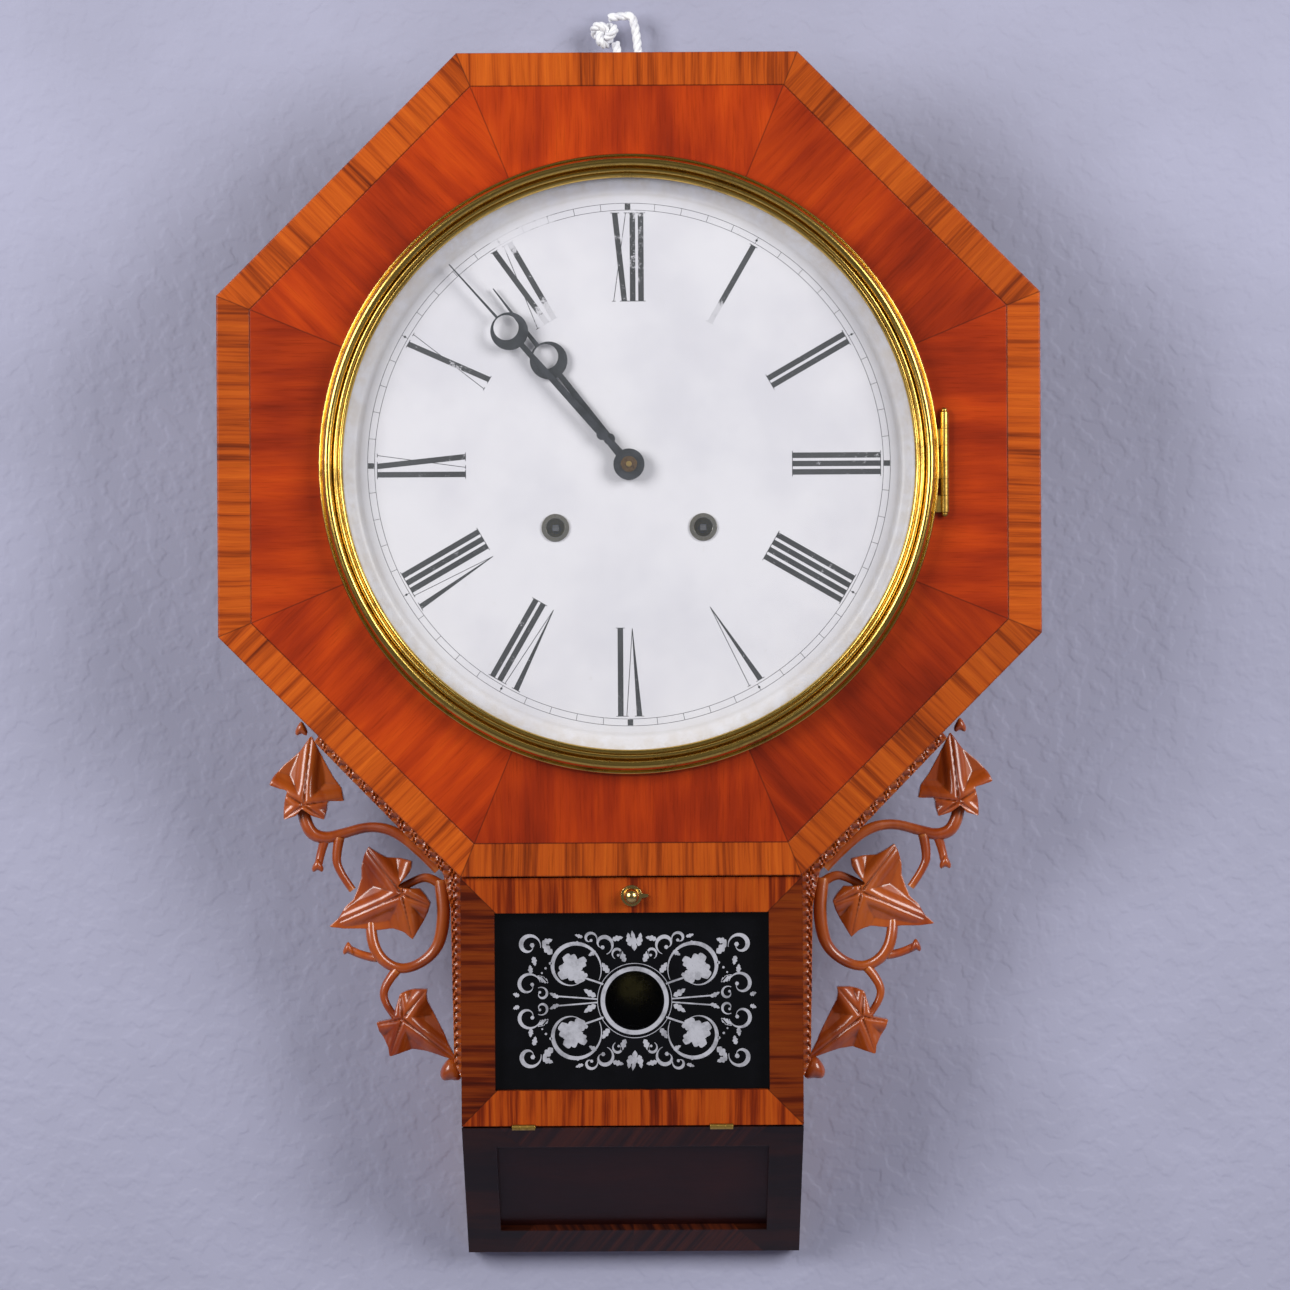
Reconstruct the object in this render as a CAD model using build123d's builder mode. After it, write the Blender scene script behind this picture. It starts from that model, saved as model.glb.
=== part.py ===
from build123d import *
import os
from math import atan2, cos, degrees, hypot, pi, radians, sin, sqrt

# Drop dial wall clock, in millimetres.
# The origin is on the wall, behind the dial's centre. +Z is up and the front faces -Y.
# Every size called "out" is a distance from the wall towards the room.
# Plane.XZ.offset(out) is the plane at that distance, with X to the right and Z up.

os.makedirs("parts", exist_ok=True)

# Clearances
joint_gap = 0.3
running_gap = 0.05
leaf_gap = 0.1

# Octagon head
octagon_width = 445
frame_front = 100
frame_thick = 21
veneer_thick = 1
crossband_width = 18

# Case behind the octagon
board = 12
thin_board = 9
back_thick = 8
head_half_width = 150
head_top = 150
head_bottom = -120
drop_half_width = 92.5
shoulder_bottom = -190

# Drop door, which is hinged along its lower edge
door_front = 97
door_gap = 0.8
door_height = 134.2
door_opening_width = 148.5
door_opening_height = 96
tablet_lap = 4
tablet_thick = 2.5
tablet_depth = 6
stop_size = 5
door_hinge_length = 12.5
door_hinge_left = -59
door_hinge_right = 48
door_knuckle_r = 1.6
door_leaf_thick = 0.8
door_leaf_depth = 14
door_pin_r = 0.7

# Latch
latch_below_top = 9.8
latch_knob_r = 5.7
latch_stem_r = 2
latch_arm = 16

# Sloping chin under the door
chin_drop = 79
chin_bottom_out = 14
chin_thick = 12
chin_stile = 18.5
chin_top_rail = 17.6
chin_bottom_rail = 20.3
chin_panel_depth = 4
chin_panel_thick = 4

# Bezel
bezel_outer_r = 167.5
sight_r = 154
bezel_height = 13
bezel_seat_gap = 0.4
glass_r = 157.3
glass_thick = 2
glass_out = 105
glass_ring_width = 3
bezel_hinge_clear = 2.7
bezel_hinge_out = 102.6
bezel_knuckle_r = 2.3
bezel_knuckle = 9
bezel_knuckles = 6
bezel_pin_r = 1.0
bezel_leaf_thick = 1.6
bezel_tongue = 10
case_leaf_depth = 15

# Dial pan
dial_out = 95
dial_thick = 0.8
dial_flat_r = 146
dial_rim_r = 155
dial_flange_r = 163
dial_centre_hole_r = 5
dial_screw_r = 0.9
dial_screw_circle_r = 161.4
dial_screw_hole = 10
dial_hole_r = 156.5
grommet_outer_r = 7.5
grommet_inner_r = 5.1
grommet_tube_r = 6.4
winding_x = 40
winding_z = -34

# Movement
back_plate_out = 30
front_plate_out = 66
plate_thick = 2
plate_half_width = 66
plate_top = 78
plate_bottom = -66
pillar_r = 3
foot_r = 4
arbor_r = 1.5
pivot_r = 0.8
pivot_past_plate = 0.6
winding_arbor_r = 2.5
winding_square = 4
winding_end_out = 91
centre_arbor_r = 1.5
wheel_thick = 1.5

# Hands, angles measured clockwise from 12
minute_length = 145
minute_angle = -41.7
minute_out = 100.6
hour_length = 120
hour_angle = -37.4
hour_out = 97.2
hand_thick = 1.2
hand_hub_r = 8.4

# Pendulum
suspension_z = 60
pendulum_out = 18
bob_z = -292
bob_r = 36
bob_thick = 12
rod_r = 1.2

# Rope that hangs the clock on a screw in the wall
rope_r = 2.5
rope_out = 12
screw_x = 1.35
screw_z = 250
screw_r = 2.5
peg_z = 165
peg_r = 5

# Values that follow
case_depth = frame_front - veneer_thick - frame_thick
octagon_half = octagon_width / 2
veneer_out = frame_front - veneer_thick
door_top = -octagon_half - door_gap
door_bottom = door_top - door_height
door_back = case_depth + joint_gap
door_hinge_z = door_bottom - door_gap / 2
door_hinge_out = door_front + joint_gap + door_knuckle_r
chin_top = door_bottom - door_gap
chin_bottom = chin_top - chin_drop
drop_inside = drop_half_width - thin_board
bezel_hinge_x = bezel_outer_r + bezel_hinge_clear


def octagon(across):
    """An octagon with a flat side at the top."""
    return RegularPolygon(across / 2, 8, major_radius=False, rotation=22.5)


# Backboard, with a tab at the top for the hanging peg
hanger_half_width = 22
hanger_top = peg_z + 16
with BuildPart() as backboard:
    with BuildSketch(Plane.XZ):
        with BuildLine():
            Polyline(
                (hanger_half_width, hanger_top),
                (hanger_half_width, head_top),
                (head_half_width, head_top),
                (head_half_width, head_bottom),
                (drop_half_width, shoulder_bottom),
                (drop_half_width, chin_bottom),
                (0, chin_bottom),
                (0, hanger_top),
                close=True,
            )
        make_face()
        mirror(about=Plane.YZ)
    extrude(amount=back_thick)
backboard.part.label = "backboard"
export_step(backboard.part, "parts/backboard.step")

# Top and side boards of the head, mitred at the corners
with BuildPart() as head_boards:
    with BuildSketch(Plane.XZ.offset(back_thick)):
        with BuildLine():
            Polyline(
                (head_half_width, head_bottom),
                (head_half_width, head_top),
                (0, head_top),
                (0, head_top - board),
                (head_half_width - board, head_top - board),
                (head_half_width - board, head_bottom),
                close=True,
            )
        make_face()
        mirror(about=Plane.YZ)
    extrude(amount=case_depth - back_thick)
head_boards.part.label = "head_boards"
export_step(head_boards.part, "parts/head_boards.step")

# Sloping boards from the wide head to the narrow drop
with BuildPart() as case_shoulders:
    with BuildSketch(Plane.XZ.offset(back_thick)):
        with BuildLine():
            Polyline(
                (head_half_width, head_bottom),
                (head_half_width - board, head_bottom),
                (drop_inside, shoulder_bottom),
                (drop_half_width, shoulder_bottom),
                close=True,
            )
        make_face()
        mirror(about=Plane.YZ)
    extrude(amount=case_depth - back_thick)
case_shoulders.part.label = "case_shoulders"
export_step(case_shoulders.part, "parts/case_shoulders.step")

# Slope of the chin, seen from the side: its front runs back towards the wall as it goes down
chin_run = door_front - chin_bottom_out
chin_length = hypot(chin_run, chin_drop)
slope_out = chin_run / chin_length
slope_z = chin_drop / chin_length
chin_back_top_out = door_front - chin_thick / slope_z
chin_back_low_z = chin_top - (chin_back_top_out - back_thick) * chin_drop / chin_run
side_low_z = chin_top - (chin_back_top_out - case_depth) * chin_drop / chin_run

with BuildPart() as drop_sides:
    with BuildSketch(Plane.YZ.offset(drop_inside)):
        with BuildLine():
            Polyline(
                (-back_thick, shoulder_bottom),
                (-case_depth, shoulder_bottom),
                (-case_depth, side_low_z),
                (-back_thick, chin_back_low_z),
                close=True,
            )
        make_face()
    extrude(amount=thin_board)
    mirror(about=Plane.YZ)
drop_sides.part.label = "drop_sides"
export_step(drop_sides.part, "parts/drop_sides.step")

chin_plane = Plane(
    origin=(0, -door_front, chin_top),
    x_dir=(1, 0, 0),
    z_dir=(0, -slope_z, -slope_out),
)
chin_opening_height = chin_length - chin_top_rail - chin_bottom_rail
chin_opening_y = -chin_top_rail - chin_opening_height / 2
chin_opening_width = 2 * (drop_half_width - chin_stile)
panel_lap = 3
with BuildPart() as chin_frame:
    with BuildSketch(Plane.YZ):
        with BuildLine():
            Polyline(
                (-door_front, chin_top),
                (-chin_bottom_out, chin_bottom),
                (-back_thick, chin_bottom),
                (-back_thick, chin_back_low_z),
                (-chin_back_top_out, chin_top),
                close=True,
            )
        make_face()
    extrude(amount=drop_half_width, both=True)
    with BuildSketch(chin_plane):
        with Locations((0, chin_opening_y)):
            Rectangle(chin_opening_width, chin_opening_height)
    extrude(amount=-2 * chin_thick, mode=Mode.SUBTRACT)
    with BuildSketch(chin_plane.offset(-chin_panel_depth)):
        with Locations((0, chin_opening_y)):
            Rectangle(chin_opening_width + 2 * panel_lap, chin_opening_height + 2 * panel_lap)
    extrude(amount=-2 * chin_thick, mode=Mode.SUBTRACT)
    for hinge_x in (door_hinge_left, door_hinge_right):
        with BuildSketch(Plane.XY.offset(chin_top)):
            with Locations((hinge_x, -door_hinge_out + door_leaf_depth / 2)):
                Rectangle(door_hinge_length + 2 * leaf_gap, door_leaf_depth + 2 * leaf_gap)
        extrude(amount=-door_leaf_thick, mode=Mode.SUBTRACT)
chin_frame.part.label = "chin_frame"
export_step(chin_frame.part, "parts/chin_frame.step")

with BuildPart() as chin_panel:
    with BuildSketch(chin_plane.offset(-chin_panel_depth)):
        with Locations((0, chin_opening_y)):
            Rectangle(chin_opening_width + 2 * panel_lap, chin_opening_height + 2 * panel_lap)
    extrude(amount=-chin_panel_thick)
chin_panel.part.label = "chin_panel"
export_step(chin_panel.part, "parts/chin_panel.step")

# Octagon frame, drilled for the dial screws and slotted for the bezel's hinge leaf
barrel_length = bezel_knuckle * bezel_knuckles
with BuildPart() as octagon_frame:
    with BuildSketch(Plane.XZ.offset(case_depth)):
        octagon(octagon_width)
        Circle(dial_hole_r, mode=Mode.SUBTRACT)
    extrude(amount=frame_thick)
    with BuildSketch(Plane.XZ.offset(veneer_out)):
        with PolarLocations(dial_screw_circle_r, 4, start_angle=45):
            Circle(dial_screw_r + running_gap)
    extrude(amount=-dial_screw_hole, mode=Mode.SUBTRACT)
    with BuildSketch(Plane.XZ.offset(veneer_out)):
        with Locations((bezel_hinge_x, 0)):
            Rectangle(bezel_leaf_thick + 2 * leaf_gap, barrel_length + 2 * leaf_gap)
    extrude(amount=-case_leaf_depth, mode=Mode.SUBTRACT)
octagon_frame.part.label = "octagon_frame"
export_step(octagon_frame.part, "parts/octagon_frame.step")

with BuildPart() as veneer_crossband:
    with BuildSketch(Plane.XZ.offset(veneer_out)):
        octagon(octagon_width)
    extrude(amount=veneer_thick)
    with BuildSketch(Plane.XZ.offset(veneer_out)):
        octagon(octagon_width - 2 * crossband_width)
    extrude(amount=veneer_thick, mode=Mode.SUBTRACT)
    outer_edges = veneer_crossband.edges().filter_by_position(Axis.Y, -frame_front, -frame_front)
    longest = outer_edges.sort_by(Edge.length)[-8:]
    chamfer(longest, veneer_thick / 2)
veneer_crossband.part.label = "veneer_crossband"
export_step(veneer_crossband.part, "parts/veneer_crossband.step")

with BuildPart() as veneer_field:
    with BuildSketch(Plane.XZ.offset(veneer_out)):
        octagon(octagon_width - 2 * crossband_width)
        Circle(dial_flange_r + leaf_gap, mode=Mode.SUBTRACT)
        with Locations((bezel_hinge_x, 0)):
            Rectangle(
                bezel_leaf_thick + 2 * leaf_gap,
                barrel_length + 2 * leaf_gap,
                mode=Mode.SUBTRACT,
            )
    extrude(amount=veneer_thick)
veneer_field.part.label = "veneer_field"
export_step(veneer_field.part, "parts/veneer_field.step")

# Door frame. Its top edge is an arc about the hinge, so that it clears the octagon as it opens.
door_middle = (door_top + door_bottom) / 2
swing_r = hypot(door_hinge_out - case_depth, -octagon_half - door_hinge_z) - joint_gap
swing_top_r = min(swing_r, -octagon_half - door_hinge_z - joint_gap)
latch_z = door_top - latch_below_top
tablet_out = door_front - tablet_depth - tablet_thick
middle_knuckle = door_hinge_length / 3
with BuildPart() as door_frame:
    with BuildSketch(Plane.XZ.offset(door_back)):
        with Locations((0, door_middle)):
            Rectangle(2 * drop_half_width, door_height)
            Rectangle(door_opening_width, door_opening_height, mode=Mode.SUBTRACT)
    extrude(amount=door_front - door_back)
    with BuildSketch(Plane.XZ.offset(door_back)):
        with Locations((0, door_middle)):
            Rectangle(door_opening_width + 2 * tablet_lap, door_opening_height + 2 * tablet_lap)
    extrude(amount=tablet_out + tablet_thick - door_back, mode=Mode.SUBTRACT)
    with BuildSketch(Plane.YZ):
        with Locations((-door_hinge_out, door_hinge_z)):
            Circle(swing_top_r)
    extrude(amount=drop_half_width, both=True, mode=Mode.INTERSECT)
    with BuildSketch(Plane.XZ.offset(door_front)):
        with Locations((0, latch_z)):
            Circle(latch_stem_r + running_gap)
    extrude(amount=-2 * frame_thick, mode=Mode.SUBTRACT)
    for hinge_x in (door_hinge_left, door_hinge_right):
        with BuildSketch(Plane.XY.offset(door_bottom)):
            with Locations((hinge_x, -door_hinge_out + door_leaf_depth / 2)):
                Rectangle(door_hinge_length + 2 * leaf_gap, door_leaf_depth + 2 * leaf_gap)
        extrude(amount=door_leaf_thick, mode=Mode.SUBTRACT)
door_frame.part.label = "door_frame"
export_step(door_frame.part, "parts/door_frame.step")

with BuildPart() as tablet_glass:
    with BuildSketch(Plane.XZ.offset(tablet_out)):
        with Locations((0, door_middle)):
            Rectangle(
                door_opening_width + 2 * tablet_lap - 2 * leaf_gap,
                door_opening_height + 2 * tablet_lap - 2 * leaf_gap,
            )
    extrude(amount=tablet_thick)
tablet_glass.part.label = "tablet_glass"
export_step(tablet_glass.part, "parts/tablet_glass.step")

with BuildPart() as tablet_stops:
    with BuildSketch(Plane.XZ.offset(tablet_out)):
        with Locations((0, door_middle)):
            Rectangle(
                door_opening_width + 2 * tablet_lap - 2 * leaf_gap,
                door_opening_height + 2 * tablet_lap - 2 * leaf_gap,
            )
            Rectangle(
                door_opening_width + 2 * tablet_lap - 2 * stop_size,
                door_opening_height + 2 * tablet_lap - 2 * stop_size,
                mode=Mode.SUBTRACT,
            )
    extrude(amount=-stop_size)
tablet_stops.part.label = "tablet_stops"
export_step(tablet_stops.part, "parts/tablet_stops.step")

# Two small butt hinges: the outer knuckles belong to the chin, the middle one to the door
leaf_back = -door_hinge_out + door_leaf_depth
leaf_front = -door_front
with BuildPart() as door_hinge_case_leaves:
    for hinge_x in (door_hinge_left, door_hinge_right):
        with BuildSketch(Plane.XY.offset(chin_top)):
            with Locations((hinge_x, (leaf_back + leaf_front) / 2)):
                Rectangle(door_hinge_length, leaf_back - leaf_front)
        extrude(amount=-door_leaf_thick)
        for side in (-1, 1):
            knuckle_x = hinge_x + side * middle_knuckle
            with BuildSketch(Plane.XY.offset(chin_top)):
                with Locations((knuckle_x, (leaf_front - door_hinge_out) / 2)):
                    Rectangle(middle_knuckle - leaf_gap, door_hinge_out - door_front)
            extrude(amount=-door_leaf_thick)
            with BuildSketch(Plane.YZ.offset(knuckle_x)):
                with Locations((-door_hinge_out, door_hinge_z)):
                    Circle(door_knuckle_r)
            extrude(amount=(middle_knuckle - leaf_gap) / 2, both=True)
    with BuildSketch(Plane.YZ):
        with Locations((-door_hinge_out, door_hinge_z)):
            Circle(door_pin_r + running_gap)
    extrude(amount=drop_half_width, both=True, mode=Mode.SUBTRACT)
door_hinge_case_leaves.part.label = "door_hinge_case_leaves"
export_step(door_hinge_case_leaves.part, "parts/door_hinge_case_leaves.step")

with BuildPart() as door_hinge_door_leaves:
    for hinge_x in (door_hinge_left, door_hinge_right):
        with BuildSketch(Plane.XY.offset(door_bottom)):
            with Locations((hinge_x, (leaf_back + leaf_front) / 2)):
                Rectangle(door_hinge_length, leaf_back - leaf_front)
            with Locations((hinge_x, (leaf_front - door_hinge_out) / 2)):
                Rectangle(middle_knuckle - leaf_gap, door_hinge_out - door_front)
        extrude(amount=door_leaf_thick)
        with BuildSketch(Plane.YZ.offset(hinge_x)):
            with Locations((-door_hinge_out, door_hinge_z)):
                Circle(door_knuckle_r)
        extrude(amount=(middle_knuckle - leaf_gap) / 2, both=True)
    with BuildSketch(Plane.YZ):
        with Locations((-door_hinge_out, door_hinge_z)):
            Circle(door_pin_r + running_gap)
    extrude(amount=drop_half_width, both=True, mode=Mode.SUBTRACT)
door_hinge_door_leaves.part.label = "door_hinge_door_leaves"
export_step(door_hinge_door_leaves.part, "parts/door_hinge_door_leaves.step")

# Door latch: a turned knob with a pointer outside, and inside an arm that turns behind the octagon
knob_base_out = door_front + joint_gap
arm_thick = 3
arm_out = case_depth - joint_gap - arm_thick
with BuildPart() as latch_knob:
    with BuildSketch(Plane.XZ.offset(arm_out)):
        with Locations((0, latch_z)):
            Circle(latch_stem_r)
    extrude(amount=knob_base_out - arm_out)
    with BuildSketch(Plane.XZ.offset(arm_out)):
        with Locations((latch_arm / 2, latch_z)):
            SlotOverall(latch_arm + 2 * arm_thick, 2 * arm_thick)
    extrude(amount=arm_thick)
    with BuildSketch(Plane.XZ.offset(knob_base_out)):
        with Locations((0, latch_z)):
            Circle(latch_knob_r)
    extrude(amount=1.2)
    with BuildSketch(Plane.XZ.offset(knob_base_out)):
        with Locations((0, latch_z)):
            Circle(0.4 * latch_knob_r)
    extrude(amount=4)
    with Locations((0, -knob_base_out - latch_knob_r, latch_z)):
        Sphere(0.72 * latch_knob_r)
    with BuildSketch(Plane.XZ.offset(knob_base_out)):
        with BuildLine():
            Polyline(
                (0, latch_z - 2),
                (latch_knob_r + 3.4, latch_z - 0.7),
                (latch_knob_r + 3.4, latch_z + 0.7),
                (0, latch_z + 2),
                close=True,
            )
        make_face()
    extrude(amount=1.2)
latch_knob.part.label = "latch_knob"
export_step(latch_knob.part, "parts/latch_knob.step")

# Brass bezel, spun with an outer bead, a broad bead, a narrow bead and a lip over the glass
bezel_base = frame_front + bezel_seat_gap
lip_out = glass_out + glass_thick
bezel_ring = bezel_outer_r - sight_r
outer_bead_r = bezel_outer_r - 0.155 * bezel_ring
broad_bead_r = bezel_outer_r - 0.6 * bezel_ring
narrow_bead_r = bezel_outer_r - 0.81 * bezel_ring
rabbet_r = glass_r + 0.2
wall = 1.7
with BuildPart() as bezel:
    with BuildSketch(Plane.XY):
        with BuildLine():
            Line((bezel_outer_r, -bezel_base), (bezel_outer_r, -bezel_base - 2.6))
            ThreePointArc(
                (bezel_outer_r, -bezel_base - 2.6),
                (bezel_outer_r - 0.9, -bezel_base - 4.2),
                (outer_bead_r, -bezel_base - 3.4),
            )
            Spline(
                (outer_bead_r, -bezel_base - 3.4),
                (outer_bead_r - 1.2, -bezel_base - bezel_height + 3),
                (outer_bead_r - 3.2, -bezel_base - bezel_height + 1),
                (broad_bead_r, -lip_out - 1.6),
                tangents=((0, -1), (-0.6, 1)),
            )
            ThreePointArc(
                (broad_bead_r, -lip_out - 1.6),
                ((broad_bead_r + narrow_bead_r) / 2, -lip_out - 3.8),
                (narrow_bead_r, -lip_out - 1.6),
            )
            ThreePointArc(
                (narrow_bead_r, -lip_out - 1.6),
                ((narrow_bead_r + sight_r) / 2, -lip_out - 2.4),
                (sight_r, -lip_out - 0.6),
            )
            Polyline(
                (sight_r, -lip_out - 0.6),
                (sight_r, -lip_out),
                (rabbet_r, -lip_out),
                (rabbet_r, -bezel_base),
                (rabbet_r + wall, -bezel_base),
                (rabbet_r + wall, -lip_out + 0.8),
                (rabbet_r + 2 * wall, -lip_out - 1.4),
                (outer_bead_r - 2, -lip_out - 1.4),
                (outer_bead_r, -bezel_base - 2),
                (bezel_outer_r - 1.3, -bezel_base - 1.4),
                (bezel_outer_r - 1.3, -bezel_base),
                (bezel_outer_r, -bezel_base),
            )
        make_face()
    revolve(axis=Axis.Y)
bezel.part.label = "bezel"
export_step(bezel.part, "parts/bezel.step")

with BuildPart() as bezel_glass:
    with BuildSketch(Plane.XZ.offset(glass_out)):
        Circle(glass_r)
    extrude(amount=glass_thick)
bezel_glass.part.label = "bezel_glass"
export_step(bezel_glass.part, "parts/bezel_glass.step")

with BuildPart() as glass_ring:
    with BuildSketch(Plane.XZ.offset(glass_out)):
        Circle(glass_r)
        Circle(glass_r - glass_ring_width, mode=Mode.SUBTRACT)
    extrude(amount=-glass_thick)
glass_ring.part.label = "glass_ring"
export_step(glass_ring.part, "parts/glass_ring.step")

# Bezel hinge: six knuckles, every second one on the leaf let into the octagon
knuckle_places = [(n + 0.5) * bezel_knuckle - barrel_length / 2 for n in range(bezel_knuckles)]
knuckle_height = bezel_knuckle - leaf_gap
with BuildPart() as bezel_hinge_leaf:
    for knuckle_z in knuckle_places[0::2]:
        with BuildSketch(Plane.XY.offset(knuckle_z)):
            with Locations((bezel_hinge_x, -bezel_hinge_out)):
                Circle(bezel_knuckle_r)
            with Locations((bezel_hinge_x - bezel_tongue / 2, -bezel_hinge_out)):
                Rectangle(bezel_tongue, bezel_leaf_thick)
        extrude(amount=knuckle_height / 2, both=True)
    with BuildSketch(Plane.XZ.offset(bezel_base)):
        Circle(bezel_outer_r + running_gap)
    extrude(amount=bezel_height, mode=Mode.SUBTRACT)
    with BuildSketch(Plane.XY.offset(-barrel_length)):
        with Locations((bezel_hinge_x, -bezel_hinge_out)):
            Circle(bezel_pin_r + running_gap)
    extrude(amount=2 * barrel_length, mode=Mode.SUBTRACT)
bezel_hinge_leaf.part.label = "bezel_hinge_leaf"
export_step(bezel_hinge_leaf.part, "parts/bezel_hinge_leaf.step")

with BuildPart() as case_hinge_leaf:
    with BuildSketch(Plane.XZ.offset(frame_front)):
        with Locations((bezel_hinge_x, 0)):
            Rectangle(bezel_leaf_thick, barrel_length)
    extrude(amount=-case_leaf_depth)
    for knuckle_z in knuckle_places[1::2]:
        with BuildSketch(Plane.XY.offset(knuckle_z)):
            with Locations((bezel_hinge_x, -bezel_hinge_out)):
                Circle(bezel_knuckle_r)
            with Locations((bezel_hinge_x, -(bezel_hinge_out + frame_front) / 2)):
                Rectangle(bezel_leaf_thick, bezel_hinge_out - frame_front)
        extrude(amount=knuckle_height / 2, both=True)
    with BuildSketch(Plane.XY.offset(-barrel_length)):
        with Locations((bezel_hinge_x, -bezel_hinge_out)):
            Circle(bezel_pin_r + running_gap)
    extrude(amount=2 * barrel_length, mode=Mode.SUBTRACT)
case_hinge_leaf.part.label = "case_hinge_leaf"
export_step(case_hinge_leaf.part, "parts/case_hinge_leaf.step")

pin_head_r = 1.7
with BuildPart() as hinge_pins:
    for hinge_x in (door_hinge_left, door_hinge_right):
        with BuildSketch(Plane.YZ.offset(hinge_x)):
            with Locations((-door_hinge_out, door_hinge_z)):
                Circle(door_pin_r)
        extrude(amount=door_hinge_length / 2, both=True)
    with BuildSketch(Plane.XY.offset(-barrel_length / 2)):
        with Locations((bezel_hinge_x, -bezel_hinge_out)):
            Circle(bezel_pin_r)
    extrude(amount=barrel_length)
    with Locations(
        (bezel_hinge_x, -bezel_hinge_out, barrel_length / 2 + 0.9),
        (bezel_hinge_x, -bezel_hinge_out, -barrel_length / 2 - 0.9),
    ):
        Sphere(pin_head_r)
    with BuildSketch(Plane.XY.offset(-barrel_length / 2)):
        with Locations((bezel_hinge_x, -bezel_hinge_out)):
            Circle(bezel_knuckle_r + 1)
            Circle(bezel_pin_r, mode=Mode.SUBTRACT)
    extrude(amount=barrel_length, mode=Mode.SUBTRACT)
hinge_pins.part.label = "hinge_pins"
export_step(hinge_pins.part, "parts/hinge_pins.step")

# Painted dial pan: a flat disc, a rolled rim and a flange on the octagon's face
dial_back = dial_out - dial_thick
with BuildPart() as dial:
    with BuildSketch(Plane.XY):
        with BuildLine():
            Polyline((dial_centre_hole_r, -dial_back), (dial_centre_hole_r, -dial_out))
            Line((dial_centre_hole_r, -dial_out), (dial_flat_r, -dial_out))
            Spline(
                (dial_flat_r, -dial_out),
                (dial_rim_r, -frame_front),
                tangents=((1, 0), (1, -0.15)),
            )
            Polyline(
                (dial_rim_r, -frame_front),
                (dial_flange_r, -frame_front),
                (dial_flange_r, -veneer_out),
                (dial_rim_r + 0.4, -veneer_out),
            )
            Spline(
                (dial_rim_r + 0.4, -veneer_out),
                (dial_flat_r + 0.4, -dial_back),
                tangents=((-1, 0.15), (-1, 0)),
            )
            Line((dial_flat_r + 0.4, -dial_back), (dial_centre_hole_r, -dial_back))
        make_face()
    revolve(axis=Axis.Y)
    with BuildSketch(Plane.XZ.offset(dial_back - 1)):
        with Locations((winding_x, winding_z), (-winding_x, winding_z)):
            Circle(grommet_tube_r + leaf_gap)
        with PolarLocations(dial_screw_circle_r, 4, start_angle=45):
            Circle(dial_screw_r + running_gap)
    extrude(amount=10, mode=Mode.SUBTRACT)
dial.part.label = "dial"
export_step(dial.part, "parts/dial.step")

dial_screw_head_r = 1.6
with BuildPart() as dial_screws:
    with BuildSketch(Plane.XZ.offset(frame_front)):
        with PolarLocations(dial_screw_circle_r, 4, start_angle=45):
            Circle(dial_screw_r)
    extrude(amount=-9)
    with BuildSketch(Plane.XZ.offset(frame_front)):
        with PolarLocations(dial_screw_circle_r, 4, start_angle=45):
            Circle(dial_screw_head_r)
    extrude(amount=1.2)
dial_screws.part.label = "dial_screws"
export_step(dial_screws.part, "parts/dial_screws.step")

with BuildPart() as winding_grommets:
    with BuildSketch(Plane.XZ.offset(dial_out)):
        with Locations((winding_x, winding_z), (-winding_x, winding_z)):
            Circle(grommet_outer_r)
    extrude(amount=0.9)
    with BuildSketch(Plane.XZ.offset(dial_out)):
        with Locations((winding_x, winding_z), (-winding_x, winding_z)):
            Circle(grommet_tube_r)
    extrude(amount=-2.2)
    with BuildSketch(Plane.XZ.offset(dial_out + 2)):
        with Locations((winding_x, winding_z), (-winding_x, winding_z)):
            Circle(grommet_inner_r)
    extrude(amount=-6, mode=Mode.SUBTRACT)
winding_grommets.part.label = "winding_grommets"
export_step(winding_grommets.part, "parts/winding_grommets.step")

# Hands of the moon pattern. Each is drawn along its own line from the centre.
cannon_bore_r = centre_arbor_r + running_gap
cannon_r = 2.4
pipe_bore_r = cannon_r + running_gap
pipe_r = 3.6
moon_r = 10.2
moon_hole_r = 6.8
knop_r = 3.1


def hand_plane(out, angle):
    """A plane in front of the dial whose Y runs from the centre along the hand."""
    turn = radians(angle)
    return Plane(origin=(0, -out, 0), x_dir=(cos(turn), 0, -sin(turn)), z_dir=(0, -1, 0))


def hand_sketch(length, moon_at, knop_at, needle_width, bore_r):
    """The outline of one hand, with an eccentric hole in its moon."""
    with BuildSketch(mode=Mode.PRIVATE) as outline:
        with BuildLine():
            Polyline(
                (2.6, 0),
                (1.3, knop_at),
                (2.1, knop_at + 3),
                (1.4, moon_at),
                (needle_width, moon_at + moon_r),
                (0.3, length),
                (0, length),
                (0, 0),
                close=True,
            )
        make_face()
        mirror(about=Plane.YZ)
        Circle(hand_hub_r)
        with Locations((0, knop_at)):
            Circle(knop_r)
        with Locations((0, moon_at)):
            Circle(moon_r)
        with Locations((0, moon_at + moon_r - moon_hole_r - 0.8)):
            Circle(moon_hole_r, mode=Mode.SUBTRACT)
        Circle(bore_r, mode=Mode.SUBTRACT)
    return outline.sketch


with BuildPart() as hour_hand:
    with BuildSketch(hand_plane(hour_out, hour_angle)):
        add(hand_sketch(hour_length, 71, 17.3, 1.3, pipe_r))
    extrude(amount=hand_thick)
hour_hand.part.label = "hour_hand"
export_step(hour_hand.part, "parts/hour_hand.step")

with BuildPart() as minute_hand:
    with BuildSketch(hand_plane(minute_out, minute_angle)):
        add(hand_sketch(minute_length, 96.5, 21.6, 0.7, cannon_r))
    extrude(amount=hand_thick)
minute_hand.part.label = "minute_hand"
export_step(minute_hand.part, "parts/minute_hand.step")

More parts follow.
